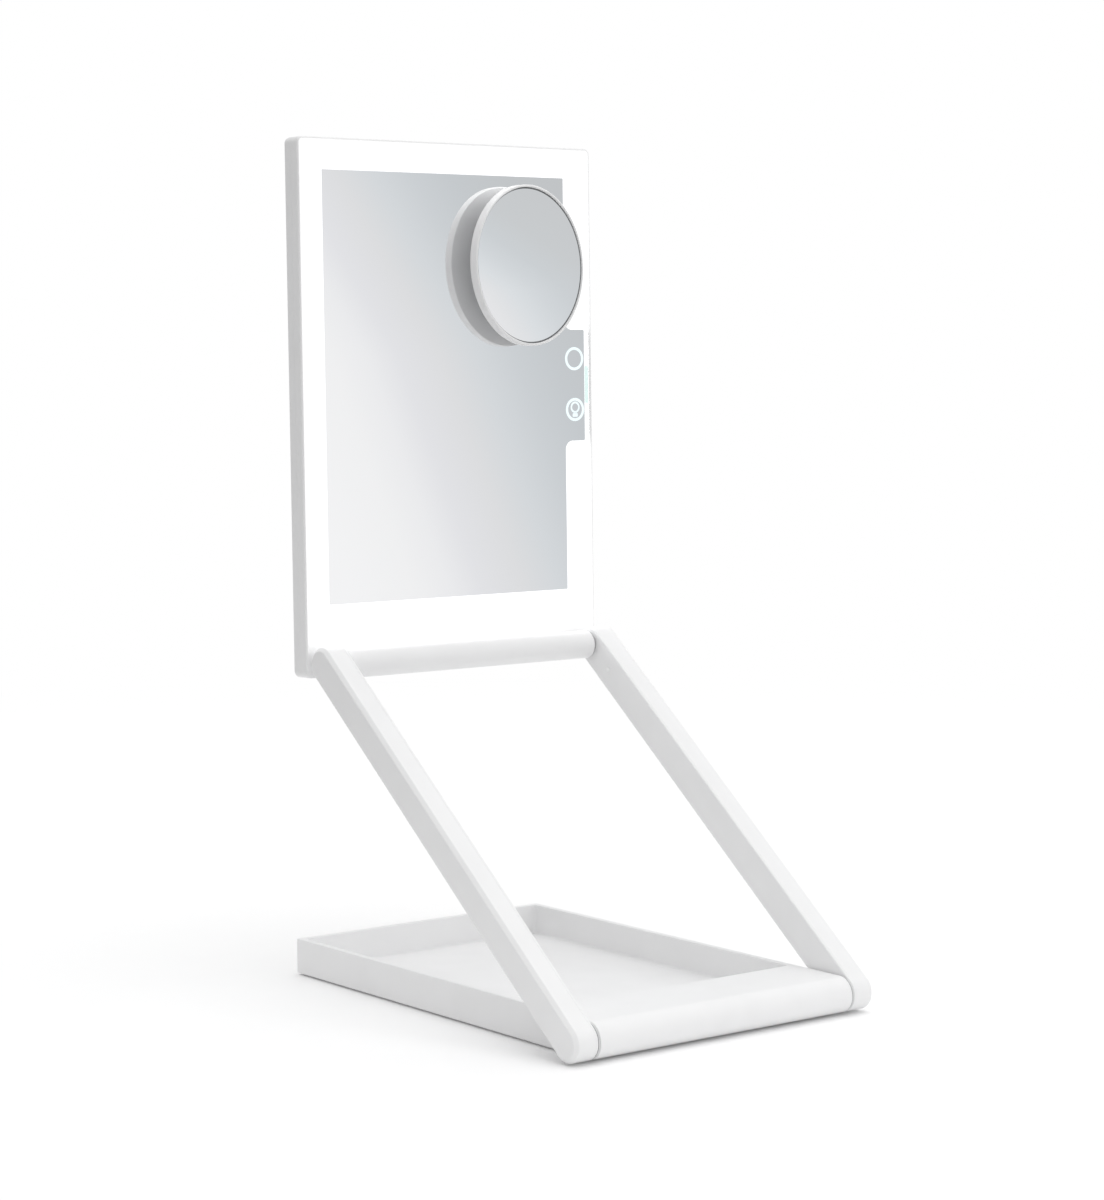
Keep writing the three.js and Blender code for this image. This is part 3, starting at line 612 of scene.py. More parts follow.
@dataclass(frozen=True)
class Finish(ABC):
    """A finish that a piece can have, with the record's slot that it belongs to."""

    name: str
    slot: str
    colour: Colour
    roughness: float

    def material(self) -> bpy.types.Material:
        """Returns the finish's material, built the first time it is asked for.

        Returns:
            The material.
        """
        made = bpy.data.materials.get(self.name)
        if made:
            return made
        material = bpy.data.materials.new(self.name)
        material.use_nodes = True
        tree = material.node_tree
        tree.nodes.clear()
        graph = Graph(tree)
        shader = graph.add("BsdfPrincipled", {"Roughness": self.roughness})
        output = graph.add("OutputMaterial")
        tree.links.new(shader.outputs[0], output.inputs["Surface"])
        self.dress(graph, shader)
        return material

    @abstractmethod
    def dress(self, graph: Graph, shader: bpy.types.Node) -> None:
        """Feeds the shader with the finish's colours, masks and bumps."""

    def scaled(self, factor: float) -> Colour:
        """Returns the finish's colour made darker or lighter by a factor."""
        return tuple(min(1.0, c * factor) for c in self.colour)

    @staticmethod
    def effect(graph: Graph, effect: Effect, **values: float) -> bpy.types.NodeOutputs:
        """Places a shared effect with this finish's values and returns its outputs.

        Args:
            graph: The material's graph.
            effect: The effect.
            **values: A value for each of its inputs.

        Returns:
            Its outputs.
        """
        node = graph.tree.nodes.new("ShaderNodeGroup")
        node.node_tree = effect.group()
        for word, value in values.items():
            node.inputs[word].default_value = value
        return node.outputs

    @staticmethod
    def feed(graph: Graph, shader: bpy.types.Node, **sockets: Socket) -> None:
        """Links sockets to the shader's inputs, whose names are given with _ for a space."""
        for word, socket in sockets.items():
            graph.tree.links.new(socket, shader.inputs[word.replace("_", " ")])

    @staticmethod
    def bump(graph: Graph, height: Socket, metres: float) -> Socket:
        """Returns the normal of a relief whose full height is given in metres."""
        return graph.add("Bump", {"Height": height, "Distance": metres}).outputs[0]


@dataclass(frozen=True)
class Plastic(Finish):
    """Moulded plastic with a fine grain, faint marks and rubbed edges."""

    grain_scale: float = 2600.0
    grain_depth: float = 1.0
    relief: float = 0.000012
    marks: float = 0.05
    mark_scale: float = 26.0
    wear: float = 0.25
    wear_scale: float = 90.0
    shade: float = 0.82
    rub: float = 1.04
    mottle: float = 0.09
    rough_swing: float = 0.05
    rubbed_gloss: float = 0.3
    marked_gloss: float = 0.03

    def dress(self, graph: Graph, shader: bpy.types.Node) -> None:
        """Feeds the shader with the finish's colours, masks and bumps.

        Args:
            graph: The material's graph.
            shader: Its shader.
        """
        grain = self.effect(graph, Effect.GRAIN, Scale=self.grain_scale, Depth=self.grain_depth)
        marks = self.effect(graph, Effect.MARKS, Scale=self.mark_scale, Amount=self.marks)
        wear = self.effect(graph, Effect.WEAR, Amount=self.wear, Patchiness=self.wear_scale)
        shaded, rubbed = self.scaled(self.shade), self.scaled(self.rub)
        toned = graph.mix(graph.spread(grain["Tone"], *TONE_RANGE, 0.0, self.mottle), self.colour, shaded)
        marked = graph.mix(marks["Mask"], toned, shaded)
        swing = (self.roughness - self.rough_swing, self.roughness + self.rough_swing)
        rough = graph.spread(grain["Tone"], *TONE_RANGE, *swing)
        worn = graph.math("SUBTRACT", rough, graph.math("MULTIPLY", wear["Mask"], self.rubbed_gloss))
        smooth = graph.math("SUBTRACT", worn, graph.math("MULTIPLY", marks["Gloss"], self.marked_gloss))
        self.feed(graph, shader, Base_Color=graph.mix(wear["Mask"], marked, rubbed), Roughness=smooth,
                  Normal=self.bump(graph, grain["Height"], self.relief))


@dataclass(frozen=True)
class PaintedGlowPlastic(Plastic):
    """White moulding beside the lit border, with painted light: its front glows in place of the border's
    light falling on it, fades out towards the barrel as painted shade, and stays unlit beside the tab.
    """

    glow: Pair = (0.0, 0.32)
    reach: Pair = (0.003, 0.0145)
    tab_side: float = 0.094
    tab_span: Pair = (0.1168, 0.1805)
    tab_fade: float = 0.006
    facing: Pair = (0.96, 0.999)

    def dress(self, graph: Graph, shader: bpy.types.Node) -> None:
        """Feeds the shader with the finish's colours, masks and bumps.

        Args:
            graph: The material's graph.
            shader: Its shader.
        """
        super().dress(graph, shader)
        origin, across = HeadPlane.facts()
        up = X_AXIS.cross(across)
        offset = graph.vector("SUBTRACT", graph.place(), tuple(origin)).outputs[0]
        height = graph.vector("DOT_PRODUCT", offset, tuple(up)).outputs["Value"]
        normal = graph.add("NewGeometry").outputs["Normal"]
        ahead = graph.vector("DOT_PRODUCT", normal, tuple(-across)).outputs["Value"]
        front = graph.spread(ahead, *self.facing, smooth=True)
        # painted shade: the painted glow fades out below the glass, where the arm ends and the barrel shade
        # the frame
        level = graph.spread(height, *self.reach, *self.glow, smooth=True)
        # the painted glow is taken out beside the tab, leaving the frame's grey edge there
        ends = [graph.spread(height, end - way * self.tab_fade, end + way * self.tab_fade, smooth=True)
                for end, way in zip(self.tab_span, (1, -1))]
        right = graph.math("GREATER_THAN", graph.axes(graph.place())[0], self.tab_side)
        beside = graph.math("MULTIPLY", graph.math("MULTIPLY", *ends), right)
        lit = graph.math("MULTIPLY", level, graph.math("SUBTRACT", 1.0, beside))
        # painted light: the moulding glows by emission, in place of the lit border's light falling on it
        shader.inputs["Emission Color"].default_value = (*WHITE, 1.0)
        self.feed(graph, shader, Emission_Strength=graph.math("MULTIPLY", front, lit))


@dataclass(frozen=True)
class Silvering(Finish):
    """Silvered glass with the faintest smears of a wiping cloth."""

    smear: float = 0.05
    smear_scale: float = 18.0
    smear_roughness: float = 0.25
    haze: float = 0.97

    def dress(self, graph: Graph, shader: bpy.types.Node) -> None:
        """Feeds the shader with the finish's colours, masks and bumps.

        Args:
            graph: The material's graph.
            shader: Its shader.
        """
        marks = self.effect(graph, Effect.MARKS, Scale=self.smear_scale, Amount=self.smear)
        shader.inputs["Metallic"].default_value = 1.0
        hazed = graph.mix(marks["Mask"], self.colour, self.scaled(self.haze))
        rough = graph.math("MULTIPLY_ADD", marks["Mask"], self.smear_roughness, self.roughness)
        self.feed(graph, shader, Base_Color=hazed, Roughness=rough)


@dataclass(frozen=True)
class Glow(Finish):
    """Frosted glass or etched lines, lit from behind."""

    light: Colour = (1.0, 1.0, 1.0)
    strength: float = 1.0
    cast: float = 1.0
    unevenness: float = 0.04
    pitch: float = 0.016
    frost_scale: float = 3200.0
    frost_shade: float = 0.96
    chip_share: float = 0.6
    level_span: Pair = (-0.4, 1.0)
    relief: float = 0.000004

    def dress(self, graph: Graph, shader: bpy.types.Node) -> None:
        """Feeds the shader with the finish's colours, masks and bumps.

        Args:
            graph: The material's graph.
            shader: Its shader.
        """
        place = graph.place()
        parts = graph.axes(place)
        turn = 2 * math.pi / self.pitch
        waves = [graph.math("COSINE", graph.math("MULTIPLY", parts[axis], turn)) for axis in (0, 2)]
        chips = graph.math("MAXIMUM", *waves)
        frost = graph.noise(self.frost_scale, 2.0, place)
        level = graph.weighted(chips, self.chip_share, frost)
        dim = tuple(c * (1 - self.unevenness) for c in self.light)
        glow = graph.mix(graph.spread(level, *self.level_span), dim, self.light)
        frosted = graph.mix(frost, self.scaled(self.frost_shade), self.colour)
        strength = graph.spread(graph.seen(), 0.0, 1.0, self.cast, self.strength)
        self.feed(graph, shader, Emission_Color=glow, Emission_Strength=strength, Base_Color=frosted,
                  Normal=self.bump(graph, frost, self.relief))


@dataclass(frozen=True)
class Rubber(Finish):
    """Soft moulded rubber or silicone, dull with dust."""

    clearness: float = 0.0
    bending: float = 1.41
    relief: float = 0.00004
    grain_scale: float = 1500.0
    dust: float = 0.35
    dust_scale: float = 60.0
    dust_roughness: float = 0.3
    dust_shade: float = 0.7
    dust_lift: float = 0.2

    def dress(self, graph: Graph, shader: bpy.types.Node) -> None:
        """Feeds the shader with the finish's colours, masks and bumps.

        Args:
            graph: The material's graph.
            shader: Its shader.
        """
        grain = self.effect(graph, Effect.GRAIN, Scale=self.grain_scale, Depth=1.0)
        marks = self.effect(graph, Effect.MARKS, Scale=self.dust_scale, Amount=self.dust)
        shader.inputs["Transmission Weight"].default_value = self.clearness
        shader.inputs["IOR"].default_value = self.bending
        dusty = tuple(self.dust_shade * c + self.dust_lift for c in self.colour)
        rough = graph.math("MULTIPLY_ADD", marks["Mask"], self.dust_roughness, self.roughness)
        self.feed(graph, shader, Base_Color=graph.mix(marks["Mask"], self.colour, dusty), Roughness=rough,
                  Normal=self.bump(graph, grain["Height"], self.relief))


@dataclass(frozen=True)
class Metal(Finish):
    """Turned, drawn or plated metal."""

    line_scale: float = 2200.0
    stretch: float = 0.04
    relief: float = 0.000006
    wear: float = 0.5
    wear_scale: float = 300.0
    stains: float = 0.5
    stain_scale: float = 120.0
    oil: float = 0.72
    rub: float = 1.25
    mottle: float = 0.35
    rough_swing: Pair = (0.06, 0.08)

    def dress(self, graph: Graph, shader: bpy.types.Node) -> None:
        """Feeds the shader with the finish's colours, masks and bumps.

        Args:
            graph: The material's graph.
            shader: Its shader.
        """
        lines = self.effect(graph, Effect.LINES, Scale=self.line_scale, Depth=1.0, Stretch=self.stretch)
        marks = self.effect(graph, Effect.MARKS, Scale=self.stain_scale, Amount=self.stains)
        wear = self.effect(graph, Effect.WEAR, Amount=self.wear, Patchiness=self.wear_scale)
        shader.inputs["Metallic"].default_value = 1.0
        oiled, bright = self.scaled(self.oil), self.scaled(self.rub)
        toned = graph.mix(graph.spread(lines["Tone"], *TONE_RANGE, 0.0, self.mottle), self.colour, oiled)
        stained = graph.mix(marks["Mask"], toned, oiled)
        swing = (self.roughness - self.rough_swing[0], self.roughness + self.rough_swing[1])
        rough = graph.spread(lines["Tone"], *TONE_RANGE, *swing)
        self.feed(graph, shader, Base_Color=graph.mix(wear["Mask"], stained, bright), Roughness=rough,
                  Normal=self.bump(graph, lines["Height"], self.relief))


@dataclass(frozen=True)
class Board(Finish):
    """A circuit board with traces, and chips on the side that a plane marks off."""

    trace: Colour = (0.05, 0.22, 0.09)
    chip: Colour = (0.02, 0.02, 0.022)
    chip_centre: Colour = (0.02, 0.02, 0.022)
    chip_side: float = 1.0
    chip_depth: float = 22.15
    chip_roughness: float = 0.45
    trace_scale: float = 420.0
    trace_width: float = 0.03
    pad_scale: float = 0.8
    pad_span: Pair = (0.2, 0.16)
    pad_height: float = 0.7
    centre_span: Pair = (0.3, 0.5)
    grain_scale: float = 2400.0
    grain_depth: float = 0.3
    shade: float = 0.85
    relief: float = 0.00003

    def dress(self, graph: Graph, shader: bpy.types.Node) -> None:
        """Feeds the shader with the finish's colours, masks and bumps.

        Args:
            graph: The material's graph.
            shader: Its shader.
        """
        place = graph.place()
        grain = self.effect(graph, Effect.GRAIN, Scale=self.grain_scale, Depth=self.grain_depth)
        origin, across = HeadPlane.facts()
        offset = graph.vector("SUBTRACT", place, tuple(origin)).outputs[0]
        depth = graph.vector("DOT_PRODUCT", offset, tuple(across)).outputs["Value"]
        beyond = graph.math("SUBTRACT", depth, self.chip_depth * MM)
        chips = graph.math("GREATER_THAN", graph.math("MULTIPLY", beyond, self.chip_side), 0.0)
        bricks = graph.add("TexBrick", {
            "Vector": self._flat(graph, place), "Scale": self.trace_scale, "Mortar Size": self.trace_width,
            "Color1": (*BLACK, 1.0), "Color2": (*BLACK, 1.0), "Mortar": (*WHITE, 1.0)})
        cell_inputs = {"Vector": place, "Scale": self.trace_scale * self.pad_scale}
        cells = graph.add("TexVoronoi", cell_inputs).outputs["Distance"]
        pads = graph.math("MULTIPLY", graph.spread(cells, *self.pad_span), self.pad_height)
        copper = graph.math("MAXIMUM", bricks.outputs["Fac"], pads)
        toned = graph.mix(grain["Tone"], self.colour, self.scaled(self.shade))
        board = graph.mix(copper, toned, self.trace)
        packed = graph.mix(graph.spread(cells, *self.centre_span), self.chip_centre, self.chip)
        relief = graph.math("ADD", grain["Height"], copper)
        rough = graph.spread(chips, 0.0, 1.0, self.roughness, self.chip_roughness)
        self.feed(graph, shader, Base_Color=graph.mix(chips, board, packed), Roughness=rough,
                  Normal=self.bump(graph, relief, self.relief))

    @staticmethod
    def _flat(graph: Graph, place: Socket) -> Socket:
        """Returns the place with its upright axis second, for flat patterns."""
        parts = graph.axes(place)
        return graph.add("CombineXYZ", {0: parts[0], 1: parts[2], 2: parts[1]}).outputs[0]


@dataclass(frozen=True)
class Foil(Finish):
    """Shrunk film round a battery, with soft creases and a darker band of tape."""

    crease: float = 0.00025
    crease_scale: float = 140.0
    crease_stretch: Triple = (1.0, 1.0, 0.25)
    tape: Colour = (0.55, 0.36, 0.05)
    tape_height: float = 0.182
    tape_half_width: float = 0.005
    mark_scale: float = 40.0
    marks: float = 0.4
    shine: float = 0.6
    shade: float = 0.7
    rough_swing: Pair = (0.08, 0.12)

    def dress(self, graph: Graph, shader: bpy.types.Node) -> None:
        """Feeds the shader with the finish's colours, masks and bumps.

        Args:
            graph: The material's graph.
            shader: Its shader.
        """
        place = graph.place()
        marks = self.effect(graph, Effect.MARKS, Scale=self.mark_scale, Amount=self.marks)
        stretched = graph.vector("MULTIPLY", place, self.crease_stretch).outputs[0]
        creases = graph.noise(self.crease_scale, 5.0, stretched)
        height = HeadPlane.facts()[0].z + self.tape_height
        taped = graph.math("COMPARE", graph.axes(place)[2], height, self.tape_half_width)
        shader.inputs["Metallic"].default_value = self.shine
        foil = graph.mix(marks["Mask"], self.colour, self.scaled(self.shade))
        swing = (self.roughness - self.rough_swing[0], self.roughness + self.rough_swing[1])
        rough = graph.spread(creases, *TONE_RANGE, *swing)
        self.feed(graph, shader, Base_Color=graph.mix(taped, foil, self.tape), Roughness=rough,
                  Normal=self.bump(graph, creases, self.crease))


@dataclass(frozen=True)
class Film(Finish):
    """Amber flexible film with copper lines along it."""

    line: Colour = (0.42, 0.16, 0.04)
    line_pitch: float = 0.0006
    line_span: Pair = (0.1, 0.3)
    line_gloss: float = 0.12
    grain_scale: float = 1800.0
    grain_depth: float = 0.5
    relief: float = 0.00002

    def dress(self, graph: Graph, shader: bpy.types.Node) -> None:
        """Feeds the shader with the finish's colours, masks and bumps.

        Args:
            graph: The material's graph.
            shader: Its shader.
        """
        grain = self.effect(graph, Effect.GRAIN, Scale=self.grain_scale, Depth=self.grain_depth)
        across = graph.axes(graph.place())[0]
        wave = graph.math("SINE", graph.math("MULTIPLY", across, 2 * math.pi / self.line_pitch))
        lines = graph.spread(wave, *self.line_span)
        relief = graph.math("ADD", lines, grain["Height"])
        self.feed(graph, shader, Base_Color=graph.mix(lines, self.colour, self.line),
                  Roughness=graph.spread(lines, 0.0, 1.0, self.roughness, self.roughness - self.line_gloss),
                  Normal=self.bump(graph, relief, self.relief))


class HeadPlane:
    """Where the head's pivot is, and the direction through the head from front to back."""

    @staticmethod
    def facts() -> tuple[Vector, Vector]:
        """Returns the head's pivot, in metres, and the direction to its back.

        Returns:
            The pivot and the direction.
        """
        joints = {joint["name"]: joint for joint in frame["joints"]}
        ahead = Vector(joints["small_mirror_pull"]["axis"]).normalized()
        return Vector(joints["head_hinge"]["pos_m"]), -ahead


@dataclass(frozen=True)
class Finishes:
    """Every finish of the object."""

    casing: Plastic = Plastic("satin_white_moulding", "white_plastic", (0.91, 0.91, 0.913), 0.42)
    tray: Plastic = Plastic("satin_white_tray", "white_plastic", (0.91, 0.91, 0.913), 0.4, marks=0.07)
    # painted glow on the front frame, for the lit border's light falling on it
    bezel: PaintedGlowPlastic = PaintedGlowPlastic("front_frame_painted_glow", "white_plastic", (0.91, 0.91, 0.913), 0.42)
    inner: Plastic = Plastic("inner_white_moulding", "chassis_plastic", (0.72, 0.73, 0.74), 0.55,
                             grain_scale=1500.0, relief=0.00003)
    plug: Plastic = Plastic("polished_white_plug", "white_plastic", (0.96, 0.96, 0.96), 0.3, wear=0.4)
    nylon: Plastic = Plastic("pale_nylon", "nylon", (0.7, 0.705, 0.71), 0.5, grain_scale=3000.0)
    # painted shade: a near-black ring for the shadow in the recess round the oval pane
    painted_shade_ring: Plastic = Plastic("dark_ring_painted_shade", "white_plastic", (0.16, 0.165, 0.17), 0.45,
                              grain_scale=3500.0)
    mirror: Silvering = Silvering("silvered_pane", "mirror_silver", (0.9, 0.902, 0.906), 0.012)
    oval_mirror: Silvering = Silvering("magnifier_pane", "magnifier_silver", (0.965, 0.967, 0.97), 0.012)
    border: Glow = Glow("lit_frosted_border", "lit_border", (0.55, 0.56, 0.57), 0.4, strength=0.8, cast=2.5)
    touch: Glow = Glow("lit_touch_line", "lit_border", (0.4, 0.45, 0.46), 0.4, light=(0.86, 0.97, 1.0),
                       strength=0.75, unevenness=0.1)
    status: Glow = Glow("pale_cyan_light", "lit_border", (0.4, 0.5, 0.5), 0.4, light=(0.59, 0.706, 0.675),
                        strength=0.8, unevenness=0.06)
    rubber: Rubber = Rubber("grey_rubber", "rubber_pad", (0.5, 0.51, 0.515), 0.8)
    silicone: Rubber = Rubber("clear_silicone", "silicone", (0.86, 0.9, 0.91), 0.22, clearness=0.75,
                              relief=0.00001)
    steel: Metal = Metal("drawn_steel", "steel", (0.56, 0.57, 0.585), 0.28)
    plated: Metal = Metal("zinc_plated_screw", "steel", (0.62, 0.63, 0.645), 0.3, line_scale=3600.0)
    spring: Metal = Metal("spring_steel", "spring_steel", (0.38, 0.4, 0.42), 0.34, line_scale=1600.0)
    board: Board = Board("green_circuit_board", "circuit_board", (0.02, 0.12, 0.045), 0.35)
    lights: Board = Board("white_light_board", "light_board", (0.8, 0.81, 0.81), 0.4, trace=(0.6, 0.61, 0.6),
                          chip=(0.85, 0.84, 0.8), chip_centre=(0.9, 0.68, 0.08), chip_side=-1.0,
                          chip_depth=18.19)
    foil: Foil = Foil("battery_wrap", "battery_foil", (0.5, 0.53, 0.56), 0.3)
    film: Film = Film("amber_film", "ribbon_film", (0.62, 0.28, 0.05), 0.32)


# Placing pieces

SHARP_ANGLE = 32.0  # an edge above this angle looks sharp, in degrees
BEVEL_ANGLE = 40.0  # an edge of a kept node above this angle is rounded, in degrees
WELD_REACH = 0.01  # corners of a kept node closer than this are one corner, in millimetres
OVAL_CENTRE = (45.1, 12.6, 216.3)
OVAL_TURN = -4.9


@dataclass(frozen=True)
class Places:
    """Frames of the object's sub-assemblies, from millimetres to the row frame's metres."""

    base: Matrix
    arms: Matrix
    head: Matrix
    oval: Matrix

    @classmethod
    def from_joints(cls) -> "Places":
        """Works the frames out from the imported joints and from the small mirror's place on the head.

        Returns:
            The frames.
        """
        joints = {joint["name"]: joint for joint in frame["joints"]}
        low, high = (Vector(joints[name]["pos_m"]) for name in ("arms_hinge", "head_hinge"))
        shrink = Matrix.Scale(MM, 4)
        arms = cls._frame(low, (high - low).normalized()) @ shrink
        head = cls._frame(high, HeadPlane.facts()[1]) @ shrink
        oval = head @ Matrix.Translation(OVAL_CENTRE) @ Matrix.Rotation(math.radians(OVAL_TURN), 4, "Y")
        return cls(shrink, arms, head, oval)

    @staticmethod
    def _frame(origin: Vector, back: Vector) -> Matrix:
        """Returns the frame at an origin whose Y axis is given and whose X axis is the row's."""
        axes = Matrix((X_AXIS, back, X_AXIS.cross(back))).transposed()
        return Matrix.Translation(origin) @ axes.to_4x4()


class Assembly(ABC):
    """A sub-assembly that rides on one body and builds its own pieces."""

    body: str

    def __init__(self, place: Matrix, finishes: Finishes) -> None:
        """Takes the frame that the pieces are drawn in and the finishes."""
        self.place = place
        self.finishes = finishes

    @abstractmethod
    def build(self) -> None:
        """Builds and dresses every piece."""

    def piece(self, name: str, solid: Solid, finish: Finish, *nodes: str) -> None:
        """Places a solid as a named piece of this body.

        Args:
            name: The piece's name.
            solid: Its shape.
            finish: Its finish.
            *nodes: The CAD nodes that it stands for.
        """
        mesh = solid.mesh
        mesh.name = name
        mesh.transform(self.place)
        mesh.shade_smooth()
        mesh.set_sharp_from_angle(angle=math.radians(SHARP_ANGLE))
        mesh.materials.clear()
        mesh.materials.append(finish.material())
        item = bpy.data.objects.new(name, mesh)
        bpy.context.scene.collection.objects.link(item)
        smooth = item.modifiers.new("even_faces", "WEIGHTED_NORMAL")
        smooth.keep_sharp = True
        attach(item, self.body)
        if nodes:
            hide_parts(*nodes)
        LOG.info("%-28s %6d faces, %s, on %s", name, len(mesh.polygons), finish.name, self.body)

    def dress(self, finish: Finish, *nodes: str, edge: float = 0.15) -> None:
        """Gives CAD nodes a finish and slightly rounded edges.

        Args:
            finish: The finish.
            *nodes: The nodes' names.
            edge: Radius of their edges, in millimetres.
        """
        for name in nodes:
            node = frame["nodes"][name]
            node.data.materials.clear()
            node.data.materials.append(finish.material())
            weld = node.modifiers.new("closed_corners", "WELD")
            weld.merge_threshold = WELD_REACH * MM
            bevel = node.modifiers.new("soft_edges", "BEVEL")
            bevel.width = edge * MM
            bevel.segments = 2
            bevel.limit_method = "ANGLE"
            bevel.angle_limit = math.radians(BEVEL_ANGLE)
            LOG.info("%-28s kept, %s", name, finish.name)


@dataclass(frozen=True)
class Screw:
    """A countersunk screw with a tapered cross recess, its face at height 0 and its tip along +depth."""

    length: float
    head_radius: float = 2.6
    head_depth: float = 1.4
    shank_radius: float = 1.2
    thread_pitch: float = 0.8
    thread: tuple[Pair, ...] = ((0.0, 0.98), (0.3, 0.98), (0.5, 1.2), (0.8, 1.2))
    thread_start: float = 0.6
    thread_end: float = 1.4
    core: float = 0.95
    tip: float = 1.2
    point_radius: float = 0.25
    dome: float = 0.18
    sink: float = 0.3
    crown: Pair = (0.05, 0.5)
    rim: float = 0.2
    cross: Pair = (1.55, 0.34)
    cross_rim: float = 0.5
    cross_depth: float = 0.9
    cross_taper: float = 0.16

    def solid(self, face: float, way: float, pull: Pull, centre: Pair) -> Solid:
        """Builds the screw.

        Args:
            face: Depth of the face that it is sunk in.
            way: Direction of its tip along the axis, 1 or -1.
            pull: The axis.
            centre: Where the axis passes.

        Returns:
            The solid.
        """
        face += way * self.sink
        profile = [(0.02, 0.4), (self.crown[0], self.head_radius - self.crown[1]),
                   (self.dome, self.head_radius), (self.dome + self.rim, self.head_radius),
                   (self.head_depth, self.shank_radius)]
        depth = self.head_depth + self.thread_start
        while depth < self.length - self.thread_end:
            for share, radius in self.thread:
                profile.append((depth + share * self.thread_pitch, self.shank_radius * radius * self.core))
            depth += self.thread_pitch
        profile += [(self.length - self.tip, self.shank_radius * self.core), (self.length, self.point_radius)]
        placed = [(face + way * d, r) for d, r in profile]
        body = Solid.turned(placed, pull, centre, 28)
        slot = [(face - way * self.cross_rim, 0.0), (face + way * self.cross_depth, self.cross_taper)]
        slots = []
        for u, v in (self.cross, self.cross[::-1]):
            outline = rectangle((centre[0] - u, centre[1] - v), (centre[0] + u, centre[1] + v), 0.1, 2)
            slots.append(Solid.loft(outline, slot, pull))
        return body.cut(*slots)


# Sub-assemblies


@dataclass(frozen=True)
class Bearing:
    """A cross shaft's washers, sleeve seats and hole, about an axis along X."""

    level: str
    axis: Pair
    washer_radius: float
    washer: Pair = (84.8, 85.4)
    washer_edge: float = 0.12
    washer_bore: float = 3.35
    sleeve_seat: tuple[Pair, ...] = ((57.9, 5.3), (84.2, 5.3), (84.5, 5.6), (86.0, 5.6))
    shaft_hole: tuple[Pair, ...] = ((-86.0, 3.6), (86.0, 3.6))

    def cutters(self) -> list[Solid]:
        """Returns the cutters of the two sleeve seats and of the shaft's hole.

        Returns:
            The cutters.
        """
        seats = [Solid.turned([(d * side, r) for d, r in self.sleeve_seat], Pull.X, self.axis)
                 for _, side in SIDES]
        return [*seats, Solid.turned(self.shaft_hole, Pull.X, self.axis, 32)]

    def dress(self, owner: Assembly) -> None:
        """Builds the washers and dresses the friction sleeves.

        Args:
            owner: The sub-assembly that carries them.
        """
        for word, side in SIDES:
            near, far = (side * end for end in self.washer)
            outer = edges(near, far, self.washer_edge, self.washer_edge, 2)
            profile = [(d, self.washer_radius - inset) for d, inset in outer]
            profile += [(far, self.washer_bore), (near, self.washer_bore)]
            solid = Solid.turned(profile, Pull.X, self.axis, ring=True)
            washer, sleeve = f"{self.level}_washer_{word}", f"{self.level}_friction_sleeve_{word}"
            owner.piece(f"{self.level}_spacer_{word}", solid, owner.finishes.nylon, washer)
            owner.dress(owner.finishes.spring, sleeve, edge=0.25)


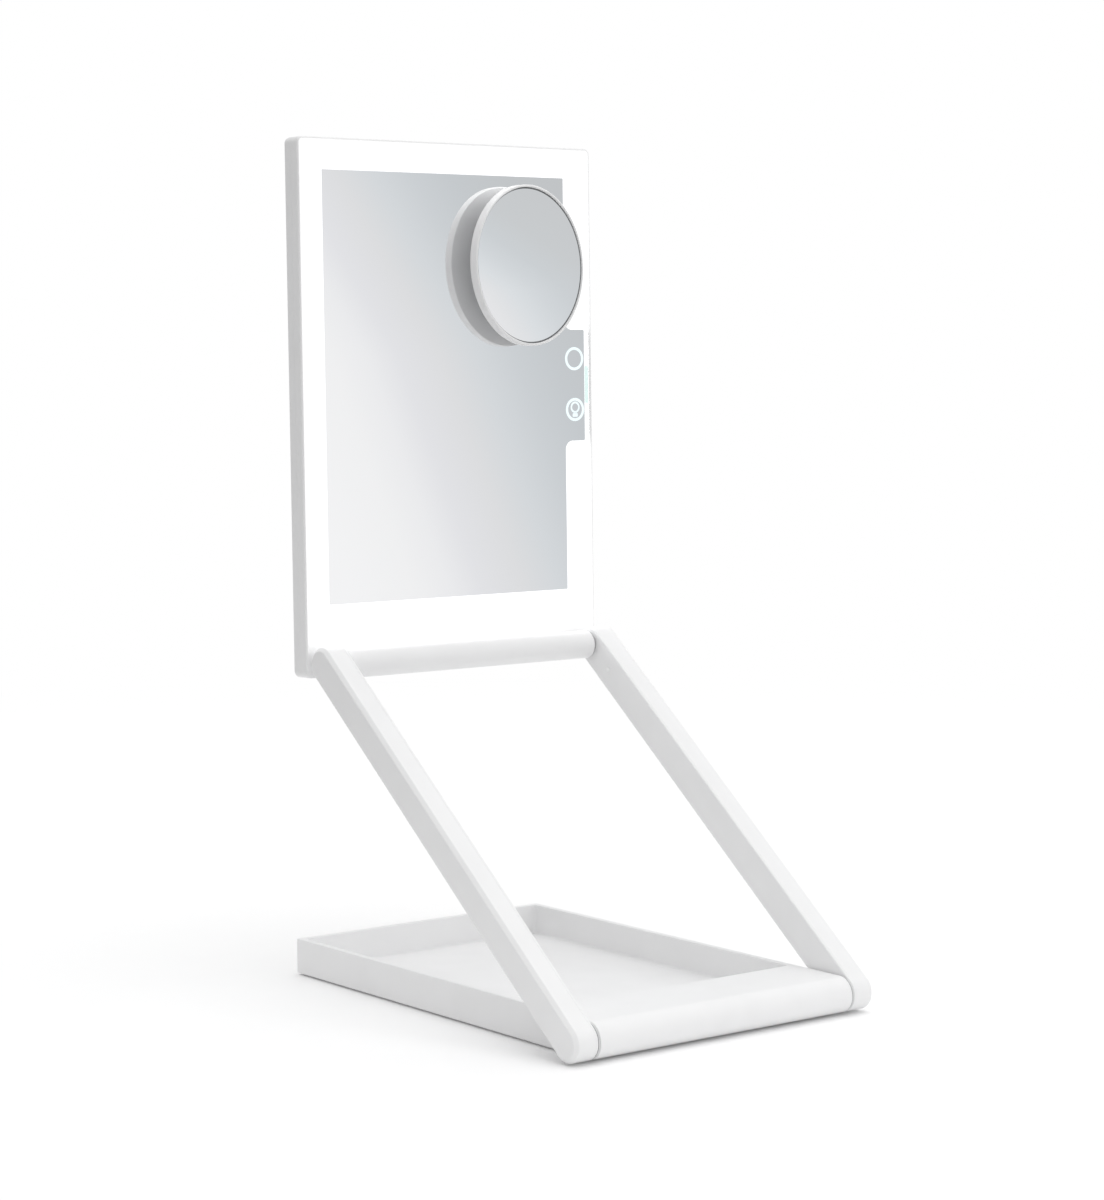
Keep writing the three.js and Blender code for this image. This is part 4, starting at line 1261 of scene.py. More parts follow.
@dataclass
class Base(Assembly):
    """The tray with its hollow rail, the plate under the rail, feet and lower bearings."""

    place: Matrix
    finishes: Finishes
    body: str = "base"
    half: float = 84.5
    front: float = -135.6
    back: float = 135.6
    bottom: float = 1.0
    top: float = 20.4
    edge: float = 0.7
    nose_radius: float = 9.7
    back_corner: float = 1.0
    bearing: Bearing = Bearing("lower", (-125.9, 10.7), 9.45)
    wall: float = 3.8
    floor: float = 3.4
    rail_back: float = -89.9
    pocket_corner: float = 2.0
    pocket_rim: float = 0.5
    pocket_foot: float = 1.2
    plate: tuple[Pair, Pair] = ((-82.4, -123.8), (82.4, -92.0))
    plate_depth: float = 3.3
    hollow_heights: Pair = (3.2, 17.9)
    hollow_corners: tuple[Pair, Pair] = ((50.4, -121.0), (81.2, -116.0))
    hollow_back: float = -92.3
    boss_radius: float = 3.2
    screw_length: float = 9.0
    screw_x: tuple[float, ...] = (-70.6, -24.6, 24.6, 70.6)
    screw_y: float = -104.25
    feet: dict[str, Pair] = field(default_factory=lambda: {
        "foot_front_left": (-62.5, -111.9), "foot_front_right": (62.5, -111.9),
        "foot_back_left": (-62.5, 121.6), "foot_back_right": (62.5, 121.6)})
    foot_seat: tuple[Pair, ...] = ((0.0, 6.0), (1.0, 6.0), (1.2, 5.8), (1.8, 5.8))
    foot_face: tuple[Pair, ...] = ((0.0, 0.3), (0.0, 1.8), (0.25, 2.0), (0.25, 2.4), (0.0, 2.6),
                                   (0.0, 3.6), (0.25, 3.8), (0.25, 4.2), (0.0, 4.4), (0.0, 5.0))
    foot_radius: float = 5.5
    foot_edge: float = 0.45
    foot_back: tuple[Pair, ...] = ((1.45, 5.5), (1.5, 5.4), (1.5, 0.3))

    def build(self) -> None:
        """Builds and dresses every piece."""
        looks = self.finishes
        self.piece("tray_moulding", self.tray(), looks.tray, "tray_shell")
        for name, centre in self.feet.items():
            self.piece(name.replace("foot", "pad"), self.foot(centre), looks.rubber, name)
        screw = Screw(self.screw_length)
        for i, x in enumerate(self.screw_x, 1):
            solid = screw.solid(self.bottom, 1.0, Pull.Z, (x, self.screw_y))
            self.piece(f"cross_screw_rail_{i}", solid, looks.plated, f"rail_screw_{i}")
        self.bearing.dress(self)
        self.dress(looks.tray, "rail_bottom_plate", edge=0.3)

    def tray(self) -> Solid:
        """Builds the tray with its pocket, rail hollow, bearing seats and foot seats.

        Returns:
            The tray.
        """
        radii = (self.nose_radius, self.back_corner, self.back_corner, self.nose_radius)
        side = rectangle((self.front, self.bottom), (self.back, self.top), radii, 18)
        body = Solid.loft(side, edges(-self.half, self.half, self.edge, self.edge), Pull.X)
        inner = self.half - self.wall
        plan = rectangle((-inner, self.rail_back), (inner, self.back - self.wall), self.pocket_corner)
        pocket = Solid.loft(plan, opening(self.top, self.floor, self.pocket_rim, self.pocket_foot, 6), Pull.Z)
        seat = Solid.block((*self.plate[0], 0.0), (*self.plate[1], self.plate_depth), 0.3)
        foot_seats = [Solid.turned(self.foot_seat, Pull.Z, centre, 40)
                      for name, centre in self.feet.items() if "back" in name]
        hollowed = body.cut(pocket, seat).cut(self.rail_hollow())
        return hollowed.cut(*self.bearing.cutters(), *foot_seats)

    def rail_hollow(self) -> Solid:
        """Builds the cutter of the rail's hollow, which leaves the bosses of the four screws.

        Returns:
            The cutter.
        """
        low, high = self.hollow_heights
        front, rear = (Solid.block((-x, y, low), (x, self.hollow_back, high), 0.5)
                       for x, y in self.hollow_corners)
        boss = [(low - PAST, self.boss_radius), (high + PAST, self.boss_radius)]
        bosses = [Solid.turned(boss, Pull.Z, (x, self.screw_y), 24) for x in self.screw_x]
        return front.join(rear).cut(*bosses)

    def foot(self, centre: Pair) -> Solid:
        """Builds a rubber pad with two grooves in its face.

        Args:
            centre: Where it is under the tray.

        Returns:
            The pad.
        """
        rounded = arc((self.foot_edge, self.foot_radius - self.foot_edge), self.foot_edge, -180, -270)[1:]
        profile = [(d, min(r, self.foot_radius)) for d, r in (*self.foot_face, *rounded)]
        return Solid.turned((*profile, *self.foot_back), Pull.Z, centre)


@dataclass
class Arms(Assembly):
    """Both arms with their inner panels, plugs, shafts and nuts, drawn from the lower pivot along +Y."""

    place: Matrix
    finishes: Finishes
    body: str = "arms"
    length: float = 270.5
    radius: float = 9.7
    outer: float = 100.0
    inner: float = 85.7
    wall: float = 2.0
    outer_edge: float = 2.4
    inner_edge: float = 1.0
    cover: float = 1.7
    joint: float = 87.45
    boss_start: float = 93.0
    boss_radius: float = 6.2
    bore_start: float = 85.0
    shaft_end: float = 98.0
    shaft_hole: float = 3.3
    panel_end: float = 89.0
    panel_hole: float = 3.6
    plug: Pair = (248.7, 0.0)
    plug_boss: float = 3.0
    plug_end: float = 92.0
    plug_hole: float = 1.8
    plug_fit: float = 1.52
    plug_stand: float = 0.45
    plug_profile: tuple[Pair, ...] = ((0.0, 0.2), (0.05, 0.8), (0.16, 1.2), (0.36, 1.44), (0.6, 1.5),
                                      (3.0, 1.5), (6.3, 1.35))

    def build(self) -> None:
        """Builds and dresses every piece."""
        looks = self.finishes
        for word, side in SIDES:
            self.piece(f"{word}_arm_casing", self.casing(side), looks.casing, f"{word}_arm_shell")
            self.piece(f"{word}_arm_panel", self.panel(side), looks.casing, f"{word}_arm_cover")
            self.piece(f"{word}_arm_plug", self.stopper(side), looks.plug, f"{word}_arm_screw_cap")
            self.dress(looks.steel, f"lower_shaft_nut_{word}", f"upper_shaft_nut_{word}", edge=0.3)
        self.dress(looks.steel, "lower_cross_shaft", "upper_cross_shaft", edge=0.3)

    def outline(self, radius: float, steps: int = 18) -> Corners:
        """Returns the arm's round-ended outline at a radius."""
        return rectangle((-radius, -radius), (self.length + radius, radius), radius, steps)

    def pivots(self) -> list[Pair]:
        """Returns the two pivots."""
        return [(0.0, 0.0), (self.length, 0.0)]

    @staticmethod
    def peg(side: float, ends: Pair, radius: float, centre: Pair, sides: int = 32) -> Solid:
        """Returns a cylinder across an arm, between two distances from the middle of the mirror."""
        return Solid.turned([(end * side, radius) for end in ends], Pull.X, centre, sides)

    def casing(self, side: float) -> Solid:
        """Builds an outer casing with its hollow and bosses.

        Args:
            side: -1 for the left arm, 1 for the right one.

        Returns:
            The casing.
        """
        shape = bevelled(self.joint * side, self.outer * side, CRISP, self.outer_edge)
        body = Solid.loft(self.outline(self.radius), shape, Pull.X)
        reach = [((self.joint - PAST) * side, 0.0), ((self.outer - self.wall) * side, 0.0)]
        hollow = Solid.loft(self.outline(self.radius - self.wall, 8), reach, Pull.X)
        deep = self.outer - PAST
        bosses = [self.peg(side, (self.boss_start, deep), self.boss_radius, pivot) for pivot in self.pivots()]
        bosses.append(self.peg(side, (self.joint, deep), self.plug_boss, self.plug, 24))
        bores = [self.peg(side, (self.bore_start, self.shaft_end), self.shaft_hole, pivot)
                 for pivot in self.pivots()]
        bores.append(self.peg(side, (self.bore_start, self.plug_end), self.plug_hole, self.plug, 24))
        return body.cut(hollow.cut(*bosses)).cut(*bores)

    def panel(self, side: float) -> Solid:
        """Builds the inner panel that closes the casing.

        Args:
            side: -1 for the left arm, 1 for the right one.

        Returns:
            The panel.
        """
        shape = edges(self.inner * side, (self.inner + self.cover) * side, self.inner_edge, CRISP, 6)
        body = Solid.loft(self.outline(self.radius), shape, Pull.X)
        ends = (self.inner - PAST, self.panel_end)
        holes = [self.peg(side, ends, self.panel_hole, pivot) for pivot in self.pivots()]
        return body.cut(*holes, self.peg(side, ends, self.plug_fit, self.plug))

    def stopper(self, side: float) -> Solid:
        """Returns the small domed plug near the upper pivot."""
        face = self.inner - self.plug_stand
        return Solid.turned([((face + d) * side, r) for d, r in self.plug_profile], Pull.X, self.plug, 32)


@dataclass(frozen=True)
class Inlet:
    """The charging inlet in the head's right side."""

    low: Pair = (21.1, 44.5)
    high: Pair = (24.3, 53.5)
    corner: float = 1.5
    ends: Pair = (91.4, 99.7)
    mouth: tuple[Pair, ...] = ((92.4, 0.4), (99.5, 0.4), (99.75, 0.3), (101.0, 0.3))
    tongue: tuple[Triple, Triple] = ((91.6, 22.35, 46.0), (98.7, 23.05, 52.0))
    contact_low: Pair = (95.0, 22.3)
    contact_high: Pair = (98.4, 23.1)
    contact_half: float = 0.13
    contact_pitch: float = 0.8
    first_contact: float = 46.8
    contacts: int = 6

    def solid(self) -> Solid:
        """Builds the drawn shell, its tongue and its contacts.

        Returns:
            The inlet.
        """
        shell = rectangle(self.low, self.high, self.corner)
        tube = Solid.loft(shell, edges(*self.ends, 0.1, 0.15, 2), Pull.X)
        mouth = Solid.loft(shell, self.mouth, Pull.X)
        tongue = Solid.block(*self.tongue, 0.15)
        heights = (self.first_contact + self.contact_pitch * i for i in range(self.contacts))
        contacts = [Solid.block((*self.contact_low, z - self.contact_half),
                                (*self.contact_high, z + self.contact_half), 0.02) for z in heights]
        return tube.cut(mouth).join(tongue, *contacts)


@dataclass
class Head(Assembly):
    """The lit head: frame, glass, lit border, back cover, barrel and what is inside."""

    place: Matrix
    finishes: Finishes
    body: str = "head"
    half: float = 100.0
    bottom: float = -8.0
    top: float = 284.0
    corner: float = 3.5
    inner_corner: float = 1.75
    face: float = 12.6
    glass_back: float = 15.6
    frame_back: float = 19.2
    cover_front: float = 19.26
    ledge: float = 20.8
    back_inner: float = 24.6
    back_inner_edge: float = 0.8
    back: float = 26.6
    front_edge: float = 1.2
    back_edge: float = 2.5
    wall: float = 2.0
    glass_half: float = 97.5
    glass_bottom: float = 13.5
    glass_top: float = 281.5
    glass_corner: float = 1.5
    glass_gap: float = 0.12
    seat_gap: float = 0.2
    window_lip: float = 2.0
    field_left: float = -84.7
    field_right: float = 80.3
    field_bottom: float = 31.4
    field_top: float = 266.7
    field_gap: float = 0.02
    tab_reach: float = 94.4
    tab_bottom: float = 116.8
    tab_top: float = 180.5
    tab_corner: float = 5.0
    tab_outer_corner: float = 0.8
    inlet_slot: tuple[Pair, Pair] = ((20.8, 44.2), (24.6, 53.8))
    inlet_slot_corner: float = 1.8
    inlet_slot_end: float = 90.4
    screw_length: float = 5.4
    screw_x: float = 88.0
    screw_z: tuple[float, ...] = (22.5, 147.5, 272.5)
    screw_recess: tuple[Pair, ...] = ((-1.0, 3.1), (0.0, 3.1), (0.2, 2.9), (0.6, 2.9), (2.0, 1.5), (6.6, 1.5))
    bearing: Bearing = Bearing("upper", (0.0, 0.0), 6.0)
    barrel_half: float = 84.5
    barrel_radius: float = 8.0
    barrel_edge: float = 2.0
    barrel_web: tuple[Triple, Triple] = ((-80.0, 1.0, -5.5), (80.0, 12.3, 5.5))
    barrel_screws: tuple[float, ...] = (-48.0, 0.0, 48.0)
    barrel_screw_length: float = 9.0
    barrel_screw_seat: tuple[Pair, ...] = ((7.0, 1.3), (13.0, 1.3))
    frame_screw_hole: float = 1.5
    mark_height: float = 0.06
    rings: dict[str, Pair] = field(default_factory=lambda: {"upper": (87.1, 163.9), "lower": (87.3, 134.7)})
    ring_radius: float = 5.85
    ring_half_width: float = 0.8
    bulb: Pair = (87.4, 136.0)
    bulb_radius: float = 2.75
    bulb_half_width: float = 0.55
    bulb_base: tuple[Pair, Pair] = ((85.5, 130.5), (89.3, 132.6))
    status_window: tuple[Pair, Pair] = ((94.6, 138.3), (97.3, 159.7))

    def build(self) -> None:
        """Builds and dresses every piece."""
        looks = self.finishes
        self.piece("front_bezel", self.bezel(), looks.bezel, "head_front_frame")
        self.piece("rear_casing", self.cover(), looks.casing, "head_back_cover")
        self.piece("main_mirror_pane", self.pane(), looks.mirror, "mirror_glass")
        self.piece("frosted_light_frame", self.border(), looks.border, "light_border")
        self.piece("pivot_barrel", self.barrel(), looks.casing, "hinge_barrel")
        self.piece("charging_inlet", Inlet().solid(), looks.steel, "charging_socket")
        self.touch_marks()
        self.screws()
        self.bearing.dress(self)
        sides = ("top", "bottom", "left", "right")
        self.dress(looks.lights, *(f"led_strip_{side}" for side in sides), edge=0.1)
        self.dress(looks.inner, "chassis_plate", edge=0.2)
        self.dress(looks.board, "control_board", "touch_board", edge=0.08)
        self.dress(looks.foil, "battery_pack", edge=0.8)
        self.dress(looks.film, "touch_ribbon", edge=0.05)

    def slab(self, inset: float, radius: float) -> Corners:
        """Returns the head's outline at an inset."""
        low = (-self.half + inset, self.bottom + inset)
        return rectangle(low, (self.half - inset, self.top - inset), radius)

    def glass_outline(self, inset: float) -> Corners:
        """Returns the glass seat's outline at an inset."""
        low = (-self.glass_half + inset, self.glass_bottom + inset)
        return rectangle(low, (self.glass_half - inset, self.glass_top - inset), self.glass_corner)

    def field(self) -> Corners:
        """Draws the mirror field with its tab.

        Returns:
            The outline.
        """
        right, reach = self.field_right, self.tab_reach
        points = ((self.field_left, self.field_bottom), (right, self.field_bottom),
                  (right, self.tab_bottom), (reach, self.tab_bottom),
                  (reach, self.tab_top), (right, self.tab_top),
                  (right, self.field_top), (self.field_left, self.field_top))
        bend, sharp = self.tab_corner, self.tab_outer_corner
        return Corners(points, (0.1, 0.1, bend, sharp, sharp, bend, 0.1, 0.1), 10)

    def bezel(self) -> Solid:
        """Builds the front frame with its glass seat, window and hollow lower rail.

        Returns:
            The frame.
        """
        shape = edges(self.face, self.frame_back, self.front_edge, CRISP, 6)
        body = Solid.loft(self.slab(0.0, self.corner), shape, Pull.Y)
        seat_shape = opening(self.face, self.glass_back + self.seat_gap, self.seat_gap, CRISP, 3)
        seat = Solid.loft(self.glass_outline(0.0), seat_shape, Pull.Y)
        through = self.frame_back + PAST
        window = Solid.loft(self.glass_outline(self.window_lip), [(self.face, 0.0), (through, 0.0)], Pull.Y)
        inner = self.half - self.wall
        hollow = Solid.block((-inner, self.glass_back, self.bottom + self.wall),
                             (inner, through, self.glass_bottom - self.wall), 0.4)
        hole = [(depth, self.frame_screw_hole) for depth in (self.face - PAST, self.glass_back + PAST)]
        holes = [Solid.turned(hole, Pull.Y, (x, 0.0), 20) for x in self.barrel_screws]
        return body.cut(seat).cut(window).cut(hollow, *holes)

    def cover(self) -> Solid:
        """Builds the rear casing with its hollow, inlet slot and countersunk holes.

        Returns:
            The casing.
        """
        shape = edges(self.cover_front, self.back, CRISP, self.back_edge, 8)
        body = Solid.loft(self.slab(0.0, self.corner), shape, Pull.Y)
        ledge = Solid.loft(self.slab(self.wall, self.inner_corner),
                           [(self.cover_front - PAST, 0.0), (self.ledge, 0.0)], Pull.Y)
        edge = self.back_inner_edge
        hollow = Solid.loft(self.slab(2 * self.wall, self.inner_corner),
                            [(self.cover_front, 0.0), (self.back_inner - edge, 0.0), (self.back_inner, edge)],
                            Pull.Y)
        slot = rectangle(*self.inlet_slot, self.inlet_slot_corner)
        mouth = Solid.loft(slot, opening(self.half, self.inlet_slot_end, 0.3), Pull.X)
        recess = [(self.back - depth, radius) for depth, radius in self.screw_recess]
        holes = [Solid.turned(recess, Pull.Y, centre, 36) for centre in self.screw_places()]
        return body.cut(ledge, hollow).cut(mouth, *holes)

    def screw_places(self) -> list[Pair]:
        """Returns the places of the back cover's screws."""
        return [(x, z) for z in self.screw_z for x in (-self.screw_x, self.screw_x)]

    def pane(self) -> Solid:
        """Returns the silvered pane with its polished edges."""
        return Solid.loft(self.field(), edges(self.face, self.glass_back, 0.04, 0.1, 2), Pull.Y)

    def border(self) -> Solid:
        """Builds the frosted border round the pane.

        Returns:
            The border.
        """
        shape = edges(self.face, self.glass_back, 0.1, 0.1, 3)
        outer = Solid.loft(self.glass_outline(self.glass_gap), shape, Pull.Y)
        reach = (self.face - PAST, self.glass_back + PAST)
        return outer.cut(Solid.loft(self.field(), [(depth, -self.field_gap) for depth in reach], Pull.Y))

    def barrel(self) -> Solid:
        """Builds the hinge barrel with its web, bearing seats and screw holes.

        Returns:
            The barrel.
        """
        half, radius, edge = self.barrel_half, self.barrel_radius, self.barrel_edge
        rounded = edges(-half, half, edge, edge, 7)
        profile = [(-half, radius - edge), *((depth, radius - inset) for depth, inset in rounded)]
        body = Solid.turned(profile, Pull.X, self.bearing.axis, 96)
        web = Solid.block(*self.barrel_web, 0.6)
        holes = [Solid.turned(self.barrel_screw_seat, Pull.Y, (x, 0.0), 20) for x in self.barrel_screws]
        return body.join(web).cut(*self.bearing.cutters(), *holes)

    def touch_marks(self) -> None:
        """Builds the two lit rings, the lamp sign inside the lower one, and the small light."""
        looks = self.finishes
        for word, centre in self.rings.items():
            ring = self.ring(self.ring_radius, self.ring_half_width, centre)
            self.piece(f"touch_ring_{word}", ring, looks.touch)
        bulb = self.ring(self.bulb_radius, self.bulb_half_width, self.bulb)
        self.piece("touch_lamp_sign", bulb, looks.touch)
        self.piece("touch_lamp_sign_base", self.bar(*self.bulb_base), looks.touch)
        self.piece("touch_status_window", self.bar(*self.status_window), looks.status)

    def bar(self, low: Pair, high: Pair) -> Solid:
        """Returns a thin raised rectangle on the glass."""
        shape = edges(self.face - self.mark_height, self.face + 0.02, 0.03, 0.01, 2)
        return Solid.loft(rectangle(low, high, 0.6, 4), shape, Pull.Y)

    def ring(self, radius: float, half_width: float, centre: Pair) -> Solid:
        """Builds a thin raised ring on the glass.

        Args:
            radius: Radius of the middle of its line.
            half_width: Half the width of its line.
            centre: Its centre.

        Returns:
            The ring.
        """
        front = self.face - self.mark_height
        slope = ((0.08, 0.0), (0.02, 0.0), (0.0, 0.15))
        inner = [(front + depth, radius - half_width + inset) for depth, inset in slope]
        outer = [(front + depth, radius + half_width - inset) for depth, inset in reversed(slope)]
        return Solid.turned(inner + outer, Pull.Y, centre, 64, ring=True)

    def screws(self) -> None:
        """Builds the screws of the barrel and of the back cover."""
        looks = self.finishes
        for i, x in enumerate(self.barrel_screws, 1):
            solid = Screw(self.barrel_screw_length).solid(self.glass_back, -1.0, Pull.Y, (x, 0.0))
            self.piece(f"cross_screw_barrel_{i}", solid, looks.plated, f"barrel_screw_{i}")
        for i, centre in enumerate(self.screw_places(), 1):
            solid = Screw(self.screw_length).solid(self.back, -1.0, Pull.Y, centre)
            self.piece(f"cross_screw_back_{i}", solid, looks.plated, f"back_screw_{i}")


@dataclass
class SmallMirror(Assembly):
    """The oval mirror that pulls off, drawn about the head's face with its front at -Y."""

    place: Matrix
    finishes: Finishes
    body: str = "small_mirror"
    radius: float = 45.1
    narrow: float = 75.8 / 90.2
    front: float = -15.0
    band: float = 6.4
    back: float = -6.0
    edge: float = 0.8
    rim: float = 1.35
    rim_bevel: float = 0.3
    recess: float = 1.4
    seat_depth: float = 2.0
    seat_step: tuple[Pair, ...] = ((0.2, 40.5), (0.0, 41.7))
    back_profile: tuple[Pair, ...] = ((-0.9, 36.0), (-0.25, 30.5), (0.0, 28.0), (0.0, 0.3),
                                      (-1.8, 0.3), (-1.8, 30.0))
    stem_hole: float = 2.5
    glass: float = 1.4
    glass_gap: float = 0.3
    glass_edge: float = 0.2
    dome: float = 0.07
    bend: float = 0.9
    bend_share: float = 0.3
    turn: float = -0.3
    dark_ring_gap: float = 0.02
    dark_ring_profile: tuple[Pair, ...] = ((0.02, 0.85), (-0.18, 0.7), (-0.22, 0.2), (-0.1, 0.0), (0.02, 0.0))
    cup_circle: float = 20.0
    cup_angles: tuple[float, ...] = (90.0, 210.0, 330.0)
    cup_profile: tuple[Pair, ...] = (
        (-7.7, 0.3), (-7.7, 2.5), (-7.2, 2.75), (-6.9, 2.2), (-5.95, 2.2), (-5.5, 3.5), (-4.8, 4.1),
        (-3.2, 4.6), (-1.95, 6.0), (-0.95, 8.1), (-0.35, 8.9), (-0.05, 9.0), (-0.05, 8.6), (-0.65, 6.6),
        (-1.05, 3.0), (-1.15, 0.3))

    def build(self) -> None:
        """Builds and dresses every piece."""
        looks = self.finishes
        self.piece("oval_mirror_case", self.case(), looks.casing, "small_mirror_housing")
        self.piece("oval_mirror_pane", self.pane(), looks.oval_mirror, "small_mirror_glass")
        # dark ring whose colour is painted shade in the pane's recess
        self.piece("oval_mirror_dark_ring", self.dark_ring(), looks.painted_shade_ring)
        for i, centre in enumerate(self.cup_places(), 1):
            cup = Solid.turned(self.cup_profile, Pull.Y, centre)
            self.piece(f"suction_pad_{i}", cup, looks.silicone, f"suction_cup_{i}")

    def cup_places(self) -> list[Pair]:
        """Returns the places of the suction cups."""
        turns = [math.radians(angle) for angle in self.cup_angles]
        return [(self.cup_circle * math.cos(t) * self.narrow, self.cup_circle * math.sin(t)) for t in turns]

    def oval(self, profile: Profile, ring: bool = False) -> Solid:
        """Returns a profile turned about the middle and narrowed to the mirror's oval."""
        return Solid.turned(profile, Pull.Y, (0.0, 0.0), 128, self.narrow, ring)

    def case(self) -> Solid:
        """Builds the oval case with its rounded rim and domed back.

        Returns:
            The case.
        """
        inside = self.radius - self.rim
        seat = self.front + self.recess + self.seat_depth
        edge, bevel = self.edge, self.rim_bevel
        middle = self.radius - edge
        rounds = arc((middle, self.front + edge), edge, -90, 0, 6)
        rounds += arc((middle, self.front + self.band - edge), edge, 0, 80, 6)
        profile = [(seat, inside), (self.front + bevel, inside), (self.front, inside + bevel)]
        profile += [(depth, radius) for radius, depth in rounds]
        profile += [(self.back + depth, radius) for depth, radius in self.back_profile]
        profile += [(seat + depth, radius) for depth, radius in self.seat_step]
        stem = [(self.front, self.stem_hole), (0.0, self.stem_hole)]
        holes = [Solid.turned(stem, Pull.Y, centre, 24) for centre in self.cup_places()]
        return self.oval(profile, ring=True).cut(*holes)

    def pane(self) -> Solid:
        """Builds the pane. The photograph shows it turned a little to the left, and bent back at its ends.

        Returns:
            The pane.
        """
        reach = self.radius - self.rim - self.glass_gap
        front = self.front + self.recess
        back = front + self.glass
        bow = self.dome / reach ** 2
        radii = (0.3, *range(3, 42, 3), reach - 0.4)
        profile = [(front + bow * r ** 2 - self.dome / 2, r) for r in radii]
        profile += [(front + 0.3, reach), (back - self.glass_edge, reach), (back, reach - self.glass_edge),
                    (back, 0.3)]
        pivot = Matrix.Translation((0.0, front, 0.0))
        turn = Matrix.Rotation(math.radians(self.turn), 4, "Z")
        return self.bent(self.oval(profile)).moved(pivot @ turn @ pivot.inverted())

    def bent(self, solid: Solid) -> Solid:
        """Bends a solid back towards the top and bottom of the oval.

        Args:
            solid: The solid, which is changed.

        Returns:
            The same solid.
        """
        for corner in solid.mesh.vertices:
            corner.co.y += self.bend * ((corner.co.z / self.radius) ** 2 - self.bend_share)
        return solid

    def dark_ring(self) -> Solid:
        """Builds a dark ring between the rim and the pane, whose dark colour is painted shade for the recess
        round the pane.

        Returns:
            The seal.
        """
        outer = self.radius - self.rim - self.dark_ring_gap
        face = self.front + self.recess
        profile = [(face + depth, outer - inset) for depth, inset in self.dark_ring_profile]
        return self.bent(self.oval(profile, ring=True))


# Studio


@dataclass(frozen=True)
class Lamp:
    """A large, soft and distant lamp, given by the direction that its light comes from."""

    name: str
    strength: float
    angle: float
    direction: Triple

    def place(self) -> None:
        """Puts the lamp in the scene. Mirrors don't show it."""
        lamp = bpy.data.lights.new(self.name, "SUN")
        lamp.energy = self.strength
        lamp.angle = math.radians(self.angle)
        item = bpy.data.objects.new(self.name, lamp)
        bpy.context.scene.collection.objects.link(item)
        item.rotation_euler = Vector(self.direction).to_track_quat("Z", "Y").to_euler()
        item.visible_glossy = False


@dataclass(frozen=True)
class Surroundings:
    """What the mirrors show: pale screens by their direction, in degrees, under an even sky."""

    near_span: Pair = (31.0, 41.0)
    near_lean: float = 0.328
    near_bend_from: float = 1.2
    near_bend: float = 0.22
    near: Stops = (
        (0.0, (1.0, 1.0, 1.0)), (0.19, (0.995, 0.995, 1.0)), (0.31, (0.967, 0.967, 0.972)),
        (0.38, (0.92, 0.922, 0.935)), (0.44, (0.842, 0.845, 0.868)), (0.52, (0.795, 0.8, 0.812)),
        (0.59, (0.727, 0.755, 0.778)), (0.66, (0.663, 0.693, 0.717)), (0.73, (0.62, 0.649, 0.671)),
        (0.84, (0.598, 0.618, 0.632)), (1.0, (0.59, 0.605, 0.618)))
    wide: Stops = (
        (0.0, (0.6, 0.6, 0.6)), (0.14, (0.85, 0.85, 0.86)), (0.25, (0.95, 0.95, 0.95)),
        (0.36, (0.72, 0.73, 0.745)), (0.44, (0.66, 0.675, 0.69)), (0.5, (0.8, 0.81, 0.82)),
        (0.565, (1.0, 1.0, 1.0)), (0.64, (1.0, 1.0, 1.0)), (0.69, (0.85, 0.85, 0.86)),
        (0.74, (0.5, 0.5, 0.51)), (0.8, (1.0, 1.0, 1.0)), (1.0, (1.0, 1.0, 1.0)))
    sky: Colour = (0.95, 0.95, 0.95)
    sky_span: Pair = (18.0, 60.0)
    sky_share: float = 0.85

    def colour(self, graph: Graph, way: Socket) -> Socket:
        """Works out what a mirror shows in a direction.

        Args:
            graph: The world's graph.
            way: The direction.

        Returns:
            The colour.
        """
        degrees = 180 / math.pi
        parts = graph.axes(way)
        side = graph.math("ARCTAN2", parts[0], graph.math("MULTIPLY", parts[1], -1.0))
        azimuth = graph.math("MULTIPLY", side, degrees)
        rise = graph.math("MULTIPLY", graph.math("ARCSINE", parts[2]), degrees)
        above = graph.math("MAXIMUM", graph.math("SUBTRACT", rise, self.near_bend_from), 0.0)
        bent = graph.math("MULTIPLY", above, self.near_bend)
        slant = graph.math("ADD", graph.math("MULTIPLY_ADD", rise, self.near_lean, azimuth), bent)
        near = graph.ramp(graph.spread(slant, *self.near_span), self.near)
        wide = graph.ramp(graph.spread(azimuth, -180.0, 180.0), self.wide)
        screens = graph.mix(1.0, near, wide, "MULTIPLY")
        share = graph.spread(rise, *self.sky_span, 0.0, self.sky_share, smooth=True)
        return graph.mix(share, screens, self.sky)


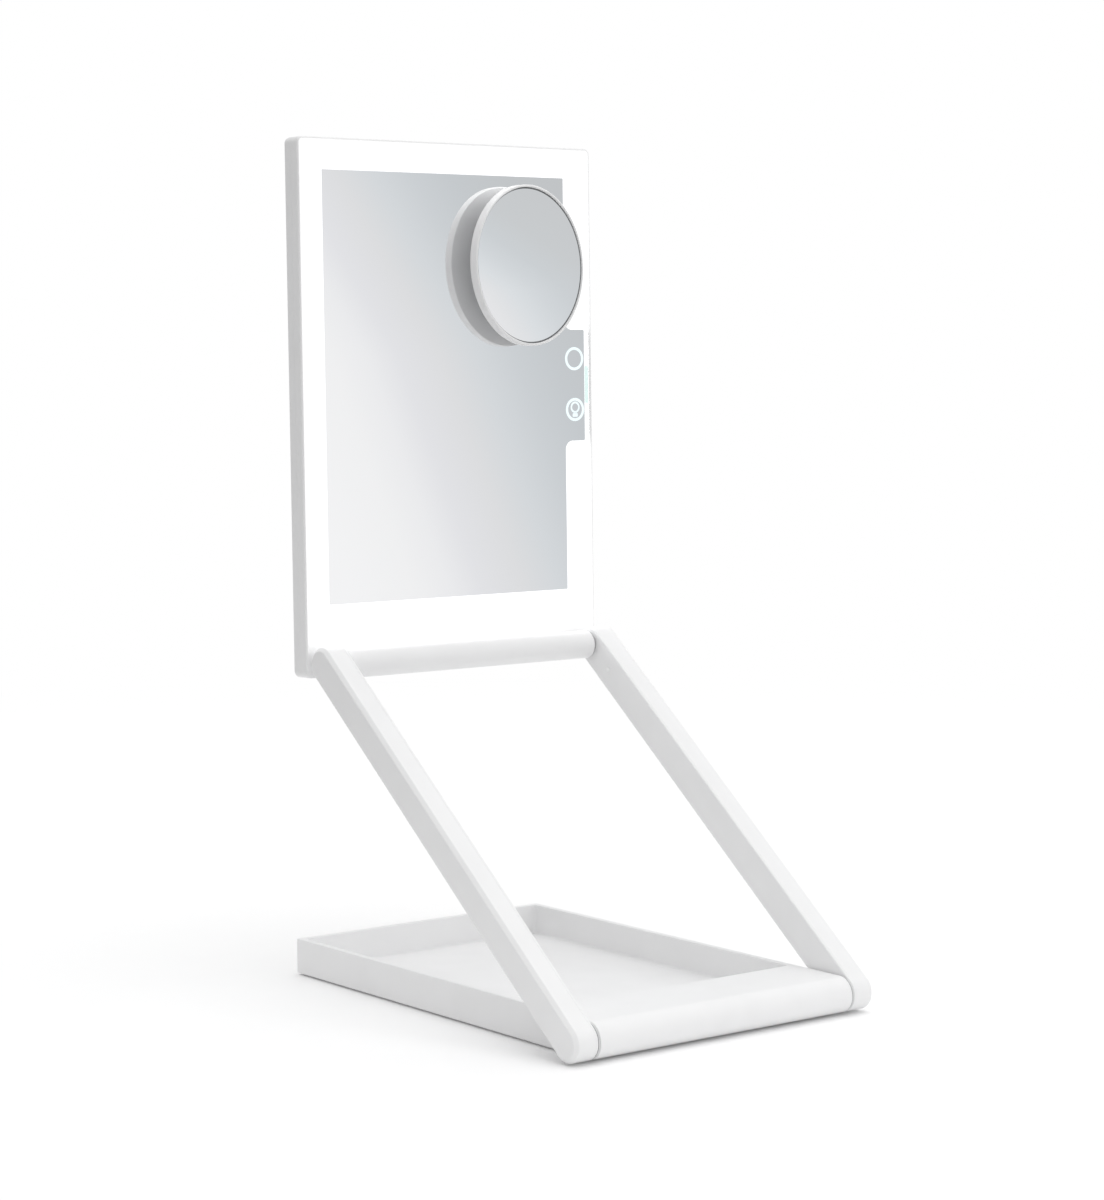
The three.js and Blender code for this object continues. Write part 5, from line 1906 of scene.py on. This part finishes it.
@dataclass(frozen=True)
class Studio:
    """Plain pale floor, soft light and the photograph's camera."""

    surroundings: Surroundings = Surroundings()
    ambient: float = 0.8
    lean: Triple = (0.354, -0.1, 0.0)
    lamp: Lamp = Lamp("overhead_lamp", 0.73, 45.0, (0.05, -0.1, 0.99))
    floor_size: float = 2.4
    floor_colour: Colour = (0.93, 0.93, 0.932)
    floor_grain: float = 40.0
    floor_shade: float = 0.985
    floor_lift: float = 0.075
    far_floor: float = 0.4
    pool: Pair = (0.25, 0.8)
    fade: Pair = (0.75, 1.5)
    lens: float = 90.13
    film_width: float = 36.0
    camera_place: Triple = (-0.98922, -1.2596, 0.35323)
    yaw: float = -37.906
    pitch: float = -4.949
    roll: float = -0.176

    def build(self) -> None:
        """Builds the world, lamp, floor and camera."""
        self.world()
        self.lamp.place()
        self.floor()
        self.camera()
        LOG.info("studio ready")

    def world(self) -> None:
        """White behind the object, soft light on it, and pale screens for the mirrors to show."""
        world = bpy.data.worlds.new("studio")
        bpy.context.scene.world = world
        world.use_nodes = True
        world.node_tree.nodes.clear()
        graph = Graph(world.node_tree)
        way = graph.add("TexCoord").outputs["Generated"]
        mirrored = self.surroundings.colour(graph, way)
        path = graph.add("LightPath").outputs
        clear = graph.math("MAXIMUM", path["Is Camera Ray"], path["Is Transmission Ray"])
        leaning = graph.vector("DOT_PRODUCT", way, self.lean).outputs["Value"]
        even = graph.math("MULTIPLY_ADD", leaning, self.ambient, self.ambient)
        lit = graph.mix(path["Is Glossy Ray"], even, mirrored)
        background = graph.add("Background", {"Color": graph.mix(clear, lit, WHITE), "Strength": 1.0})
        output = graph.add("OutputWorld")
        graph.tree.links.new(background.outputs[0], output.inputs[0])

    def floor(self) -> None:
        """A pale floor that keeps the object's shadow and is white where nothing shades it."""
        build = bmesh.new()
        bmesh.ops.create_grid(build, x_segments=8, y_segments=8, size=self.floor_size)
        mesh = bpy.data.meshes.new("floor")
        build.to_mesh(mesh)
        build.free()
        mesh.materials.append(self.paper())
        item = bpy.data.objects.new("floor", mesh)
        bpy.context.scene.collection.objects.link(item)

    def paper(self) -> bpy.types.Material:
        """Builds the floor's material.

        Returns:
            The material.
        """
        material = bpy.data.materials.new("pale_floor")
        material.use_nodes = True
        material.node_tree.nodes.clear()
        graph = Graph(material.node_tree)
        place = graph.place()
        grain = graph.noise(self.floor_grain, 3.0, place)
        tone = graph.mix(grain, self.floor_colour, tuple(c * self.floor_shade for c in self.floor_colour))
        seen = graph.seen()
        distance = graph.vector("LENGTH", place).outputs["Value"]
        thrown = graph.spread(distance, *self.pool, 1.0, self.far_floor, smooth=True)
        share = graph.math("MAXIMUM", seen, thrown)
        matt = graph.add("BsdfDiffuse", {"Color": graph.mix(share, BLACK, tone)})
        strength = graph.math("MULTIPLY", seen, self.floor_lift)
        lift = graph.add("Emission", {"Color": (*WHITE, 1.0), "Strength": strength})
        lit = graph.add("AddShader", {0: matt.outputs[0], 1: lift.outputs[0]})
        white = graph.add("Emission", {"Color": (*WHITE, 1.0), "Strength": 1.0})
        far = graph.math("MULTIPLY", graph.spread(distance, *self.fade, smooth=True), seen)
        mixed = graph.add("MixShader", {0: far, 1: lit.outputs[0], 2: white.outputs[0]})
        output = graph.add("OutputMaterial")
        graph.tree.links.new(mixed.outputs[0], output.inputs["Surface"])
        return material

    def camera(self) -> None:
        """Places the photograph's camera."""
        yaw, pitch, roll = (math.radians(angle) for angle in (self.yaw, self.pitch, self.roll))
        forward = Vector((-math.sin(yaw) * math.cos(pitch), math.cos(yaw) * math.cos(pitch), math.sin(pitch)))
        right = Vector((math.cos(yaw), math.sin(yaw), 0.0))
        up = right.cross(forward)
        rolled = right * math.cos(roll) + up * math.sin(roll)
        upright = up * math.cos(roll) - right * math.sin(roll)
        axes = Matrix((rolled, upright, -forward)).transposed()
        data = bpy.data.cameras.new("camera")
        data.lens = self.lens
        data.sensor_width = self.film_width
        data.clip_start = 0.01
        camera = bpy.data.objects.new("camera", data)
        bpy.context.scene.collection.objects.link(camera)
        camera.matrix_world = Matrix.Translation(self.camera_place) @ axes.to_4x4()
        bpy.context.scene.camera = camera


def main() -> None:
    """Builds every sub-assembly and the studio."""
    logging.basicConfig(level=logging.INFO, format="%(message)s")
    bpy.context.scene.view_settings.view_transform = "Standard"
    finishes = Finishes()
    places = Places.from_joints()
    assemblies: tuple[Assembly, ...] = (
        Base(places.base, finishes), Arms(places.arms, finishes),
        Head(places.head, finishes), SmallMirror(places.oval, finishes))
    for assembly in assemblies:
        assembly.build()
    Studio().build()


if __name__ == "__main__":
    main()
